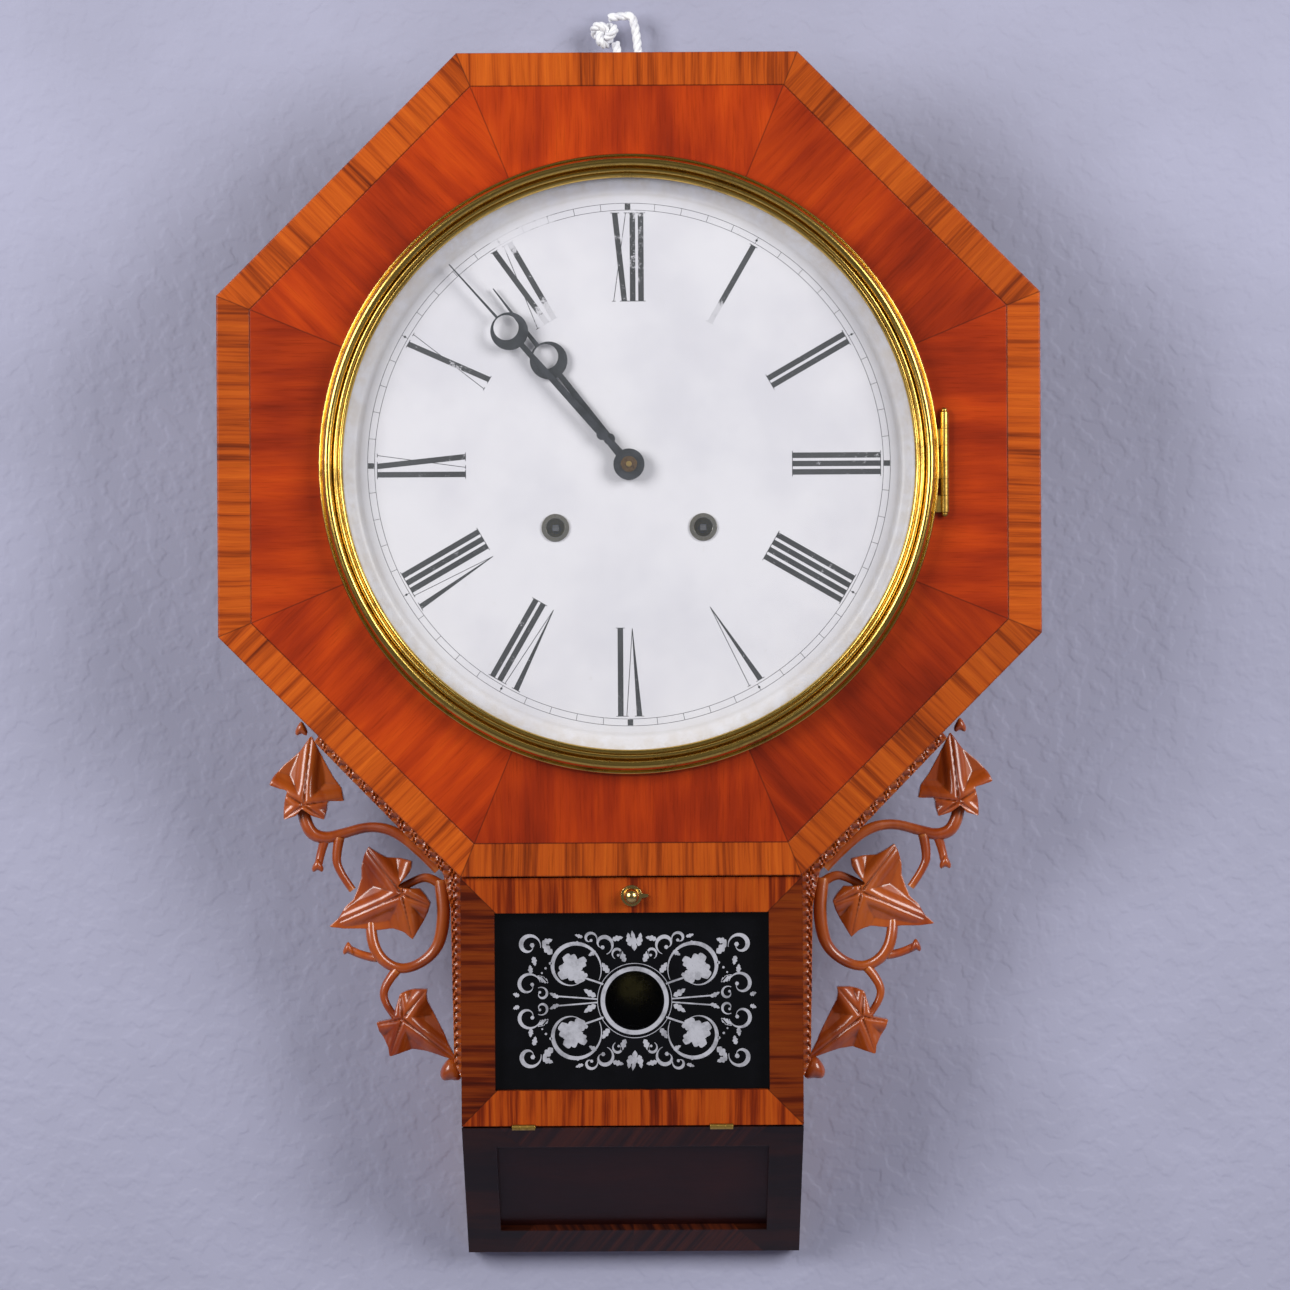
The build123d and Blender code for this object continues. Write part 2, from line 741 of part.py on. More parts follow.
collet_r = 4.3
collet_thick = 1.2
with BuildPart() as hand_collet:
    with BuildSketch(Plane.XZ.offset(minute_out + hand_thick)):
        Circle(collet_r)
        Circle(centre_arbor_r + running_gap, mode=Mode.SUBTRACT)
    extrude(amount=collet_thick)
hand_collet.part.label = "hand_collet"
export_step(hand_collet.part, "parts/hand_collet.step")

# Ivy carving, one each side. Points are measured from the corner of the box and the octagon.
carving_back = 54
carving_front = 76
stem_back = 57
stem_front = 70
leaf_back_out = 62
leaf_front_out = 74
corner_height = drop_half_width - octagon_half * sqrt(2)

strip_outline = [
    (0, 0), (77.5, 77.5), (80.5, 72.5), (10.5, 0.5), (6.5, -18), (5, -103), (0, -113),
]
strip_foot = (6.5, -109)
strip_foot_r = 6.5
leaf_outlines = [
    [(82.5, 76), (97.5, 60), (105.5, 49), (95.5, 46), (97.5, 30), (87.5, 36),
     (75.5, 30), (73.5, 40), (64.5, 40), (70.5, 53)],
    [(51.5, 15), (41.5, 9), (27.5, 7), (29.5, 0), (35.5, -7), (23.5, -8),
     (17.5, -16), (21.5, -26), (27.5, -36), (38.5, -30), (55.5, -30), (73.5, -29),
     (64.5, -18), (57.5, -8), (55.5, 4)],
    [(37.5, -79), (36.5, -72), (34.5, -65.5), (26.5, -63), (19.5, -63), (19.5, -70),
     (13, -83), (8.5, -93), (3.5, -103), (14.5, -99), (28, -96), (40.5, -100),
     (43.5, -90), (47.5, -81), (43.5, -79)],
]
stem_routes = [
    (6.5, [(87.5, 36), (85.5, 24), (76.5, 19), (65.5, 22), (51.5, 26),
           (38.5, 24), (25.5, 15), (13.5, 2)]),
    (5.5, [(67.5, 20), (69.5, 11), (68.5, 2), (60.5, -9)]),
    (5, [(75.5, 19), (78.5, 10), (79.5, 3)]),
    (5.5, [(11.5, -7), (17.5, -2), (25.5, -3), (35.5, -7)]),
    (6.5, [(12.5, -4), (10.5, -16), (11, -30), (14.5, -42), (24.5, -50.5),
           (35.5, -53), (45.5, -47), (50.5, -36), (50.5, -27)]),
    (5, [(47.5, -46), (54.5, -46), (63.5, -41)]),
    (5, [(36.5, -53), (43.5, -61), (44, -71), (37.5, -80)]),
]


def ivy_carving():
    """The right-hand carving: leaves and stems growing from a strip along the case."""
    with BuildPart(mode=Mode.PRIVATE) as carving:
        with BuildSketch(Plane.XZ.offset(carving_back)):
            with BuildLine():
                Polyline(*strip_outline, close=True)
            make_face()
            with Locations(strip_foot):
                Circle(strip_foot_r)
            with Locations((-strip_foot_r, strip_foot[1])):
                Rectangle(2 * strip_foot_r, 4 * strip_foot_r, mode=Mode.SUBTRACT)
        extrude(amount=carving_front - carving_back)
        for width, points in stem_routes:
            with BuildSketch(Plane.XZ.offset(stem_back)):
                with BuildLine():
                    Spline(*points)
                trace(line_width=width)
            extrude(amount=stem_front - stem_back)
        for outline in leaf_outlines:
            with BuildSketch(Plane.XZ.offset(leaf_back_out)):
                with BuildLine():
                    Polyline(*outline, close=True)
                make_face()
            extrude(amount=leaf_front_out - leaf_back_out)
    return carving.part.moved(Pos(drop_half_width, 0, corner_height))


with BuildPart() as right_ivy_carving:
    add(ivy_carving())
right_ivy_carving.part.label = "right_ivy_carving"
export_step(right_ivy_carving.part, "parts/right_ivy_carving.step")

with BuildPart() as left_ivy_carving:
    add(ivy_carving())
    mirror(about=Plane.YZ, mode=Mode.REPLACE)
left_ivy_carving.part.label = "left_ivy_carving"
export_step(left_ivy_carving.part, "parts/left_ivy_carving.step")

# Peg on the backboard's tab, and the rope from it over the screw in the wall
peg_head_r = 8
peg_head_thick = 1.5
with BuildPart() as hanging_peg:
    with BuildSketch(Plane.XZ.offset(back_thick)):
        with Locations((0, peg_z)):
            Circle(peg_r)
    extrude(amount=rope_out + rope_r + 0.5 - back_thick)
    with BuildSketch(Plane.XZ.offset(rope_out + rope_r + 0.5)):
        with Locations((0, peg_z)):
            Circle(peg_head_r)
    extrude(amount=peg_head_thick)
hanging_peg.part.label = "hanging_peg"
export_step(hanging_peg.part, "parts/hanging_peg.step")

knot_x = -12.8
knot_z = 245
knot_half_height = 9
rope_turn_at_peg = peg_r + rope_r + 0.6
rope_turn_at_screw = screw_r + rope_r
rope_points = [
    (-10, -rope_out, 254),
    (-3.5, -rope_out, screw_z + rope_turn_at_screw),
    (screw_x + rope_turn_at_screw, -rope_out, screw_z + rope_turn_at_screw),
    (rope_turn_at_peg, -rope_out, peg_z - rope_turn_at_peg),
    (-rope_turn_at_peg, -rope_out, peg_z - rope_turn_at_peg),
    (-3.6, -rope_out, 226),
    (-6.4, -rope_out, 240),
]


def corner_turn(points, n):
    """The angle in degrees by which a route turns at its point n."""
    before = Vector(points[n]) - Vector(points[n - 1])
    after = Vector(points[n + 1]) - Vector(points[n])
    return before.get_angle(after)


def corner_radius(points, n):
    """An arc as large as the runs beside point n allow."""
    before = (Vector(points[n]) - Vector(points[n - 1])).length
    after = (Vector(points[n + 1]) - Vector(points[n])).length
    return 0.45 * min(before, after) / max(sin(radians(corner_turn(points, n) / 2)), 1e-6) * cos(
        radians(corner_turn(points, n) / 2)
    )


rope_radii = [corner_radius(rope_points, n) for n in range(1, len(rope_points) - 1)]
rope_radii[1] = rope_turn_at_screw
rope_radii[2] = rope_turn_at_peg * 0.97
rope_radii[3] = rope_turn_at_peg * 0.97
with BuildPart() as hanging_rope:
    with BuildLine() as rope_path:
        FilletPolyline(*rope_points, radius=rope_radii)
    rope_start = Plane(origin=rope_path.line @ 0, z_dir=rope_path.line % 0)
    with BuildSketch(rope_start):
        Circle(rope_r)
    sweep()
    with Locations((knot_x, -rope_out, knot_z)):
        Sphere(knot_half_height, mode=Mode.SUBTRACT)
hanging_rope.part.label = "hanging_rope"
export_step(hanging_rope.part, "parts/hanging_rope.step")
rope_length = rope_path.wires()[0].length
print("rope radii", [round(r, 1) for r in rope_radii], "length", round(rope_length, 1))
print("rope volume", round(hanging_rope.part.volume), "of", round(pi * rope_r**2 * rope_length))

with BuildPart() as rope_knot:
    with Locations((knot_x, -rope_out, knot_z)):
        Sphere(knot_half_height)
rope_knot.part.label = "rope_knot"
export_step(rope_knot.part, "parts/rope_knot.step")

# Movement: two plates with four pillars between them and four feet on the backboard.
# Places are (X, Z). A wheel has a tooth, and its pinion a gap, on the line between their centres.
centre_place = (0, 0)
second_place = (24.66, -9.0)
third_place = (-11.12, 21.27)
escape_place = (0, 38)
verge_place = (0, suspension_z)
time_place = (winding_x, winding_z)
strike_place = (-winding_x, winding_z)
strike_second_place = (-44, -4.9)
pin_wheel_place = (-52, 13.87)
warning_place = (-48, 29.03)
fly_place = (-40, 37.97)
hammer_place = (-10, -55)
minute_wheel_place = (0, -12)
pillar_places = [(-61, -61), (61, -61), (-60, 72), (60, 72)]
stud_r = 1.2
stud_shoulder_r = 2
back_face = back_plate_out
back_inner = back_plate_out + plate_thick
front_inner = front_plate_out
front_face = front_plate_out + plate_thick
cannon_out = front_face + 1
cannon_pinion_out = cannon_out + 1
minute_wheel_out = cannon_pinion_out + 1
hour_wheel_out = minute_wheel_out + 4
stud_end = hour_wheel_out + 3.2
train_places = [
    second_place,
    third_place,
    escape_place,
    strike_second_place,
    pin_wheel_place,
    warning_place,
    fly_place,
    hammer_place,
]


def plate_sketch(winding_hole_r, centre_hole_r, verge_hole_r):
    """One movement plate with its pivot holes."""
    with BuildSketch(mode=Mode.PRIVATE) as plate:
        with Locations((0, (plate_top + plate_bottom) / 2)):
            RectangleRounded(2 * plate_half_width, plate_top - plate_bottom, 6)
        with Locations(*train_places):
            Circle(pivot_r + running_gap, mode=Mode.SUBTRACT)
        with Locations(time_place, strike_place):
            Circle(winding_hole_r + running_gap, mode=Mode.SUBTRACT)
        with Locations(centre_place):
            Circle(centre_hole_r + running_gap, mode=Mode.SUBTRACT)
        with Locations(verge_place):
            Circle(verge_hole_r + running_gap, mode=Mode.SUBTRACT)
    return plate.sketch


with BuildPart() as back_plate:
    with BuildSketch(Plane.XZ.offset(back_plate_out)):
        add(plate_sketch(arbor_r, pivot_r, arbor_r))
    extrude(amount=plate_thick)
back_plate.part.label = "back_plate"
export_step(back_plate.part, "parts/back_plate.step")

with BuildPart() as front_plate:
    with BuildSketch(Plane.XZ.offset(front_plate_out)):
        add(plate_sketch(winding_arbor_r, centre_arbor_r, pivot_r))
    extrude(amount=plate_thick)
    with BuildSketch(Plane.XZ.offset(front_face)):
        with Locations(minute_wheel_place):
            Circle(stud_shoulder_r)
    extrude(amount=minute_wheel_out - joint_gap - front_face)
    with BuildSketch(Plane.XZ.offset(front_face)):
        with Locations(minute_wheel_place):
            Circle(stud_r)
    extrude(amount=stud_end - front_face)
front_plate.part.label = "front_plate"
export_step(front_plate.part, "parts/front_plate.step")

with BuildPart() as movement_pillars:
    with BuildSketch(Plane.XZ.offset(back_inner)):
        with Locations(*pillar_places):
            Circle(pillar_r)
    extrude(amount=front_inner - back_inner)
    with BuildSketch(Plane.XZ.offset(back_thick)):
        with Locations(*pillar_places):
            Circle(foot_r)
    extrude(amount=back_face - back_thick)
movement_pillars.part.label = "movement_pillars"
export_step(movement_pillars.part, "parts/movement_pillars.step")


def bearing(a, b):
    """The angle in degrees from place a to place b, anticlockwise from +X as seen from the front."""
    return degrees(atan2(b[1] - a[1], b[0] - a[0]))


def toothed_outline(place, teeth, module, phase, root_share, tip_share, reach):
    """Points round a toothed wheel whose flat-sided teeth leave a wide clearance."""
    pitch_r = teeth * module / 2
    step = 2 * pi / teeth
    points = []
    for tooth in range(teeth):
        middle = radians(phase) + tooth * step
        for r, side in (
            (pitch_r - 1.2 * module, -root_share / 2),
            (pitch_r + reach * module, -tip_share / 2),
            (pitch_r + reach * module, tip_share / 2),
            (pitch_r - 1.2 * module, root_share / 2),
        ):
            angle = middle + side * step
            points.append((place[0] + r * cos(angle), place[1] + r * sin(angle)))
    return points


def wheel(place, out, teeth, module, phase, bore_r):
    """A crossed-out brass wheel, wheel_thick thick, in front of the plane at out."""
    rim_r = teeth * module / 2 - 3.2 * module
    hub = max(0.26 * rim_r, bore_r + 1.6)
    with BuildPart(mode=Mode.PRIVATE) as blank:
        with BuildSketch(Plane.XZ.offset(out)):
            with BuildLine():
                Polyline(*toothed_outline(place, teeth, module, phase, 0.4, 0.14, 0.7), close=True)
            make_face()
            with BuildSketch(mode=Mode.PRIVATE) as crossings:
                with Locations(place):
                    Circle(rim_r)
                    Circle(hub, mode=Mode.SUBTRACT)
                    Rectangle(2 * rim_r, 0.14 * rim_r, mode=Mode.SUBTRACT)
                    Rectangle(0.14 * rim_r, 2 * rim_r, mode=Mode.SUBTRACT)
            add(crossings.sketch, mode=Mode.SUBTRACT)
            if bore_r:
                with Locations(place):
                    Circle(bore_r, mode=Mode.SUBTRACT)
        extrude(amount=wheel_thick)
    return blank.part


def pinion(place, out, length, leaves, module, phase):
    """A cut pinion from out forwards."""
    with BuildPart(mode=Mode.PRIVATE) as blank:
        with BuildSketch(Plane.XZ.offset(out)):
            with BuildLine():
                Polyline(*toothed_outline(place, leaves, module, phase, 0.34, 0.14, 0.6), close=True)
            make_face()
        extrude(amount=length)
    return blank.part


def rod(place, r, low, high):
    """A round rod along the front-to-back direction."""
    with BuildPart(mode=Mode.PRIVATE) as piece:
        with BuildSketch(Plane.XZ.offset(low)):
            with Locations(place):
                Circle(r)
        extrude(amount=high - low)
    return piece.part


def gap_phase(wheel_place, pinion_place, leaves):
    """The phase that turns a pinion's gap towards its wheel."""
    return bearing(pinion_place, wheel_place) + 180 / leaves


# Arbors: name, place, wheel (out, teeth, module, meshes with), pinion (out, length, leaves, module, driven from)
pinion_length = 5
second_wheel_out = 34.5
centre_wheel_out = 53.5
third_wheel_out = 40.5
pin_wheel_out = 47
warning_wheel_out = 40.5
main_wheel_out = 61
main_module = 2 / 3
lead = (pinion_length - wheel_thick) / 2
arbors = [
    ("second_wheel", second_place, (second_wheel_out, 60, 0.75, centre_place),
     (main_wheel_out - lead + 0.2, 10, main_module, time_place)),
    ("third_wheel", third_place, (third_wheel_out, 66, 0.55, escape_place),
     (centre_wheel_out - lead, 8, 0.6, centre_place)),
    ("strike_second_wheel", strike_second_place, (second_wheel_out, 60, 0.6, pin_wheel_place),
     (main_wheel_out - lead + 0.2, 10, main_module, strike_place)),
    ("strike_pin_wheel", pin_wheel_place, (pin_wheel_out, 50, 0.55, warning_place),
     (second_wheel_out - lead + 0.2, 8, 0.6, strike_second_place)),
    ("strike_warning_wheel", warning_place, (warning_wheel_out, 42, 0.5, fly_place),
     (pin_wheel_out - lead, 7, 0.55, pin_wheel_place)),
]
for name, place, (wheel_out, teeth, module, onward), (pinion_out, leaves, pinion_module, driver) in arbors:
    with BuildPart() as train_arbor:
        add(rod(place, arbor_r, back_inner + joint_gap, front_inner - joint_gap))
        add(rod(place, pivot_r, back_face - pivot_past_plate, front_face + pivot_past_plate))
        add(wheel(place, wheel_out, teeth, module, bearing(place, onward), 0))
        add(pinion(place, pinion_out, pinion_length - 1, leaves, pinion_module,
                   gap_phase(driver, place, leaves)))
    train_arbor.part.label = name
    export_step(train_arbor.part, f"parts/{name}.step")

with BuildPart() as centre_wheel:
    add(rod(centre_place, arbor_r, back_inner + joint_gap, front_inner))
    add(rod(centre_place, pivot_r, back_face - pivot_past_plate, back_inner + joint_gap))
    add(rod(centre_place, centre_arbor_r, front_inner, minute_out + hand_thick + collet_thick + 1))
    add(wheel(centre_place, centre_wheel_out, 72, 0.6, bearing(centre_place, third_place), 0))
    add(pinion(centre_place, second_wheel_out - lead + 0.2, pinion_length - 1, 10, 0.75,
               gap_phase(second_place, centre_place, 10)))
centre_wheel.part.label = "centre_wheel"
export_step(centre_wheel.part, "parts/centre_wheel.step")

# Escape wheel with pointed teeth, and the verge that rocks above it
escape_teeth = 36
escape_r = 17
escape_root_r = 14.6
escape_out = 36
with BuildPart() as escape_wheel:
    add(rod(escape_place, arbor_r, back_inner + joint_gap, front_inner - joint_gap))
    add(rod(escape_place, pivot_r, back_face - pivot_past_plate, front_face + pivot_past_plate))
    add(pinion(escape_place, third_wheel_out - lead + 0.2, pinion_length - 1, 7, 0.55,
               gap_phase(third_place, escape_place, 7)))
    with BuildSketch(Plane.XZ.offset(escape_out)):
        with BuildLine():
            Polyline(
                *[
                    (
                        escape_place[0] + r * cos(2 * pi * (tooth + turn) / escape_teeth),
                        escape_place[1] + r * sin(2 * pi * (tooth + turn) / escape_teeth),
                    )
                    for tooth in range(escape_teeth)
                    for r, turn in ((escape_root_r, 0), (escape_r, 0.55), (escape_root_r, 0.62))
                ],
                close=True,
            )
        make_face()
        with Locations(escape_place):
            with PolarLocations(0.52 * escape_r, 4, start_angle=45):
                Circle(0.24 * escape_r, mode=Mode.SUBTRACT)
    extrude(amount=wheel_thick)
escape_wheel.part.label = "escape_wheel"
export_step(escape_wheel.part, "parts/escape_wheel.step")

crutch_out = 24
crutch_thick = 2
crutch_low = 12
crutch_half_slot = rod_r + 0.5
pallet_clear_r = escape_r + 1.6
with BuildPart() as verge:
    add(rod(verge_place, arbor_r, crutch_out, front_inner - joint_gap))
    add(rod(verge_place, pivot_r, crutch_out, front_face + pivot_past_plate))
    with BuildSketch(Plane.XZ.offset(escape_out)):
        with BuildLine():
            Polyline(
                (0, suspension_z + 3.4),
                (5, suspension_z + 1.4),
                (12.6, suspension_z - 7.4),
                (9.2, suspension_z - 9.2),
                (7, suspension_z - 5),
                (-7, suspension_z - 5),
                (-9.2, suspension_z - 9.2),
                (-12.6, suspension_z - 7.4),
                (-5, suspension_z + 1.4),
                close=True,
            )
        make_face()
        with Locations(escape_place):
            Circle(pallet_clear_r, mode=Mode.SUBTRACT)
    extrude(amount=wheel_thick)
    with BuildSketch(Plane.XZ.offset(crutch_out)):
        with Locations((0, (suspension_z + crutch_low) / 2)):
            SlotOverall(suspension_z - crutch_low + 4, 4, rotation=90)
    extrude(amount=crutch_thick)
    with BuildSketch(Plane.XZ.offset(crutch_out)):
        with Locations((crutch_half_slot + 0.5, crutch_low), (-crutch_half_slot - 0.5, crutch_low)):
            Rectangle(1, 4)
    extrude(amount=pendulum_out - 3 - crutch_out)
    with BuildSketch(Plane.XZ.offset(crutch_out)):
        with Locations((0, crutch_low)):
            Rectangle(2 * crutch_half_slot + 2, 4)
    extrude(amount=crutch_thick)
verge.part.label = "verge"
export_step(verge.part, "parts/verge.step")

# Winding arbors with their ratchets, main wheels with their clicks, and mainsprings
ratchet_out = 59
ratchet_thick = 1.5
ratchet_r = 8.5
ratchet_teeth = 16
click_rivet_r = 1
click_reach = 17
for side, place, side_pinion_place in (
    ("time", time_place, second_place),
    ("strike", strike_place, strike_second_place),
):
    x, z = place
    with BuildPart() as winding_arbor:
        add(rod(place, winding_arbor_r, back_inner + joint_gap, front_face + 1))
        add(rod(place, arbor_r, back_face - pivot_past_plate, back_inner + joint_gap))
        with BuildSketch(Plane.XZ.offset(front_face + 1)):
            with Locations(place):
                Rectangle(winding_square - 0.6, winding_square - 0.6)
        extrude(amount=winding_end_out - front_face - 1)
        with BuildSketch(Plane.XZ.offset(ratchet_out)):
            with BuildLine():
                Polyline(
                    *[
                        (
                            x + r * cos(2 * pi * (tooth + turn) / ratchet_teeth),
                            z + r * sin(2 * pi * (tooth + turn) / ratchet_teeth),
                        )
                        for tooth in range(ratchet_teeth)
                        for r, turn in ((ratchet_r - 1.6, 0), (ratchet_r, 0.9))
                    ],
                    close=True,
                )
            make_face()
        extrude(amount=ratchet_thick)
    winding_arbor.part.label = f"{side}_winding_arbor"
    export_step(winding_arbor.part, f"parts/{side}_winding_arbor.step")

    with BuildPart() as main_wheel:
        add(wheel(place, main_wheel_out, 78, main_module, bearing(place, side_pinion_place),
                  winding_arbor_r + running_gap))
        add(rod((x, z + click_reach), click_rivet_r, ratchet_out - 0.6, main_wheel_out))
        with BuildSketch(Plane.XZ.offset(main_wheel_out)):
            with Locations((x, z + click_reach)):
                Rectangle(8, 8)
        extrude(amount=wheel_thick)
    main_wheel.part.label = f"{side}_main_wheel"
    export_step(main_wheel.part, f"parts/{side}_main_wheel.step")

    with BuildPart() as click:
        with BuildSketch(Plane.XZ.offset(ratchet_out)):
            with Locations((x, z + click_reach)):
                Circle(2.3)
            with BuildLine():
                Polyline(
                    (x - 1.6, z + click_reach - 1.4),
                    (x + 4.9, z + 8.6),
                    (x + 6, z + 8.4),
                    (x + 1.6, z + click_reach + 1.4),
                    close=True,
                )
            make_face()
            with Locations((x, z + click_reach)):
                Circle(click_rivet_r + running_gap, mode=Mode.SUBTRACT)
        extrude(amount=ratchet_thick)
    click.part.label = f"{side}_click"
    export_step(click.part, f"parts/{side}_click.step")

# Mainsprings: flat strip wound round each winding arbor in a spiral of half circles
spring_out = 38
spring_width = 20
spring_strip = 0.6
spring_step = 0.42
spring_inner_r = 6
spring_half_turns = 20
with BuildPart() as mainsprings:
    with BuildSketch(Plane.XZ.offset(spring_out)):
        for x, z in (time_place, strike_place):
            for half_turn in range(spring_half_turns):
                r = spring_inner_r + 2 * spring_step * half_turn
                upper = 1 if half_turn % 2 == 0 else -1
                with BuildSketch(mode=Mode.PRIVATE) as arc_strip:
                    with Locations((x - upper * spring_step, z)):
                        Circle(r + spring_strip / 2)
                        Circle(r - spring_strip / 2, mode=Mode.SUBTRACT)
                    with Locations((x, z - upper * 2 * r)):
                        Rectangle(8 * r, 4 * r, mode=Mode.SUBTRACT)
                add(arc_strip.sketch)
    extrude(amount=spring_width)
mainsprings.part.label = "mainsprings"
export_step(mainsprings.part, "parts/mainsprings.step")

# Fly that slows the striking, and the hammer
fly_out = 52
fly_arbor_r = 0.95
with BuildPart() as strike_fly:
    add(rod(fly_place, fly_arbor_r, back_inner + joint_gap, front_inner - joint_gap))
    add(rod(fly_place, pivot_r, back_face - pivot_past_plate, front_face + pivot_past_plate))
    add(pinion(fly_place, warning_wheel_out - lead + 0.2, pinion_length - 1, 6, 0.5,
               gap_phase(warning_place, fly_place, 6)))
    with BuildSketch(Plane.XZ.offset(fly_out)):
        with Locations(fly_place):
            Rectangle(18.5, 0.8)
    extrude(amount=12)
strike_fly.part.label = "strike_fly"
export_step(strike_fly.part, "parts/strike_fly.step")

gong_place = (-75, -125)
gong_out = 20
hammer_head = (-33, -125)
hammer_arm_out = 25.5
hammer_rod_r = 1.2
hammer_head_r = 4
hammer_reach = hypot(hammer_head[0] - hammer_place[0], hammer_head[1] - hammer_place[1])
hammer_way = Vector(hammer_head[0] - hammer_place[0], 0, hammer_head[1] - hammer_place[1])
with BuildPart() as strike_hammer:
    add(rod(hammer_place, arbor_r, back_inner + joint_gap, front_inner - joint_gap))
    add(rod(hammer_place, pivot_r, hammer_arm_out - hammer_rod_r, front_face + pivot_past_plate))
    with BuildSketch(Plane(origin=(hammer_place[0], -hammer_arm_out, hammer_place[1]), z_dir=hammer_way)):
        Circle(hammer_rod_r)
    extrude(amount=hammer_reach)
    add(rod(hammer_head, 1.6, gong_out, hammer_arm_out + hammer_rod_r))
    with BuildSketch(Plane.YZ.offset(hammer_head[0] - 5)):
        with Locations((-gong_out, hammer_head[1])):
            Circle(hammer_head_r)
    extrude(amount=9)
strike_hammer.part.label = "strike_hammer"
export_step(strike_hammer.part, "parts/strike_hammer.step")

# Coil gong on its block. The wire is a spiral of half circles.
gong_wire_r = 1.4
gong_step = 1.75
gong_inner_r = 7
gong_half_turns = 8
gong_block_r = 6
with BuildPart() as gong:
    with BuildLine() as gong_path:
        for half_turn in range(gong_half_turns):
            r = gong_inner_r + 2 * gong_step * half_turn
            upper = 1 if half_turn % 2 == 0 else -1
            middle_x = gong_place[0] - upper * gong_step
            ThreePointArc(
                (middle_x + upper * r, -gong_out, gong_place[1]),
                (middle_x, -gong_out, gong_place[1] + upper * r),
                (middle_x - upper * r, -gong_out, gong_place[1]),
            )
    with BuildSketch(Plane(origin=gong_path.wires()[0] @ 0, z_dir=gong_path.wires()[0] % 0)):
        Circle(gong_wire_r)
    sweep(path=gong_path.wires()[0])
    add(rod(gong_place, gong_block_r, back_thick, gong_out + 4))
gong.part.label = "gong"
export_step(gong.part, "parts/gong.step")

# Motion work behind the dial: cannon pinion, minute wheel, hour wheel and pipe
motion_module = 0.6
with BuildPart() as cannon_pinion:
    add(rod(centre_place, cannon_r, cannon_out, minute_out + hand_thick))
    add(pinion(centre_place, cannon_pinion_out, 3.2, 10, motion_module,
               gap_phase(minute_wheel_place, centre_place, 10)))
    add(rod(centre_place, cannon_bore_r, cannon_out - 1, minute_out + 9), mode=Mode.SUBTRACT)
cannon_pinion.part.label = "cannon_pinion"
export_step(cannon_pinion.part, "parts/cannon_pinion.step")

with BuildPart() as minute_wheel:
    add(wheel(minute_wheel_place, minute_wheel_out, 30, motion_module,
              bearing(minute_wheel_place, centre_place), stud_r + running_gap))
    add(pinion(minute_wheel_place, minute_wheel_out + wheel_thick, 4.2, 8, motion_module,
               gap_phase(centre_place, minute_wheel_place, 8)))
    add(rod(minute_wheel_place, stud_r + running_gap, cannon_out, stud_end + 1), mode=Mode.SUBTRACT)
minute_wheel.part.label = "minute_wheel"
export_step(minute_wheel.part, "parts/minute_wheel.step")

with BuildPart() as hour_wheel:
    add(wheel(centre_place, hour_wheel_out, 32, motion_module,
              bearing(centre_place, minute_wheel_place), pipe_bore_r))
    add(rod(centre_place, pipe_r, hour_wheel_out, hour_out + hand_thick))
    add(rod(centre_place, pipe_bore_r, hour_wheel_out - 1, hour_out + 9), mode=Mode.SUBTRACT)
hour_wheel.part.label = "hour_wheel"
export_step(hour_wheel.part, "parts/hour_wheel.step")

# Pendulum: a wire rod hung by an eye on a stud, a brass bob and its rating nut
eye_r = 3.2
stud_reach = pendulum_out + 4
with BuildPart() as suspension_stud:
    add(rod(verge_place, 4, back_thick, pendulum_out - 2 - joint_gap))
    add(rod(verge_place, stud_r, back_thick, stud_reach - 1))
suspension_stud.part.label = "suspension_stud"
export_step(suspension_stud.part, "parts/suspension_stud.step")

nut_thick = 5
rod_low = bob_z - bob_r - nut_thick - 5
with BuildPart() as pendulum_rod:
    add(rod(verge_place, eye_r, pendulum_out - 2, pendulum_out + 2))
    with BuildSketch(Plane.XY.offset(rod_low)):
        with Locations((0, -pendulum_out)):
            Circle(rod_r)
    extrude(amount=suspension_z - 2 - rod_low)
    add(rod(verge_place, stud_r + running_gap, pendulum_out - 3, pendulum_out + 3), mode=Mode.SUBTRACT)
pendulum_rod.part.label = "pendulum_rod"
export_step(pendulum_rod.part, "parts/pendulum_rod.step")

with BuildPart() as pendulum_bob:
    with BuildSketch(Plane.XY.offset(bob_z)):
        with BuildLine():
            Line((0, -pendulum_out - bob_thick / 2), (0, -pendulum_out + bob_thick / 2))
            ThreePointArc(
                (0, -pendulum_out + bob_thick / 2),
                (0.6 * bob_r, -pendulum_out + 0.36 * bob_thick),
                (bob_r, -pendulum_out + 1),
            )
            Line((bob_r, -pendulum_out + 1), (bob_r, -pendulum_out - 1))
            ThreePointArc(
                (bob_r, -pendulum_out - 1),
                (0.6 * bob_r, -pendulum_out - 0.36 * bob_thick),
                (0, -pendulum_out - bob_thick / 2),
            )
        make_face()
    revolve(axis=Axis((0, 0, bob_z), (0, 1, 0)))
    with BuildSketch(Plane.XY.offset(bob_z - bob_r)):
        with Locations((0, -pendulum_out)):
            Circle(rod_r + running_gap)
    extrude(amount=2 * bob_r, mode=Mode.SUBTRACT)
pendulum_bob.part.label = "pendulum_bob"
export_step(pendulum_bob.part, "parts/pendulum_bob.step")

with BuildPart() as rating_nut:
    with BuildSketch(Plane.XY.offset(bob_z - bob_r)):
        with Locations((0, -pendulum_out)):
            RegularPolygon(4.5, 12)
            Circle(rod_r, mode=Mode.SUBTRACT)
    extrude(amount=-nut_thick)
rating_nut.part.label = "rating_nut"
export_step(rating_nut.part, "parts/rating_nut.step")
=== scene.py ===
from math import cos, pi, radians, sin, sqrt, tan

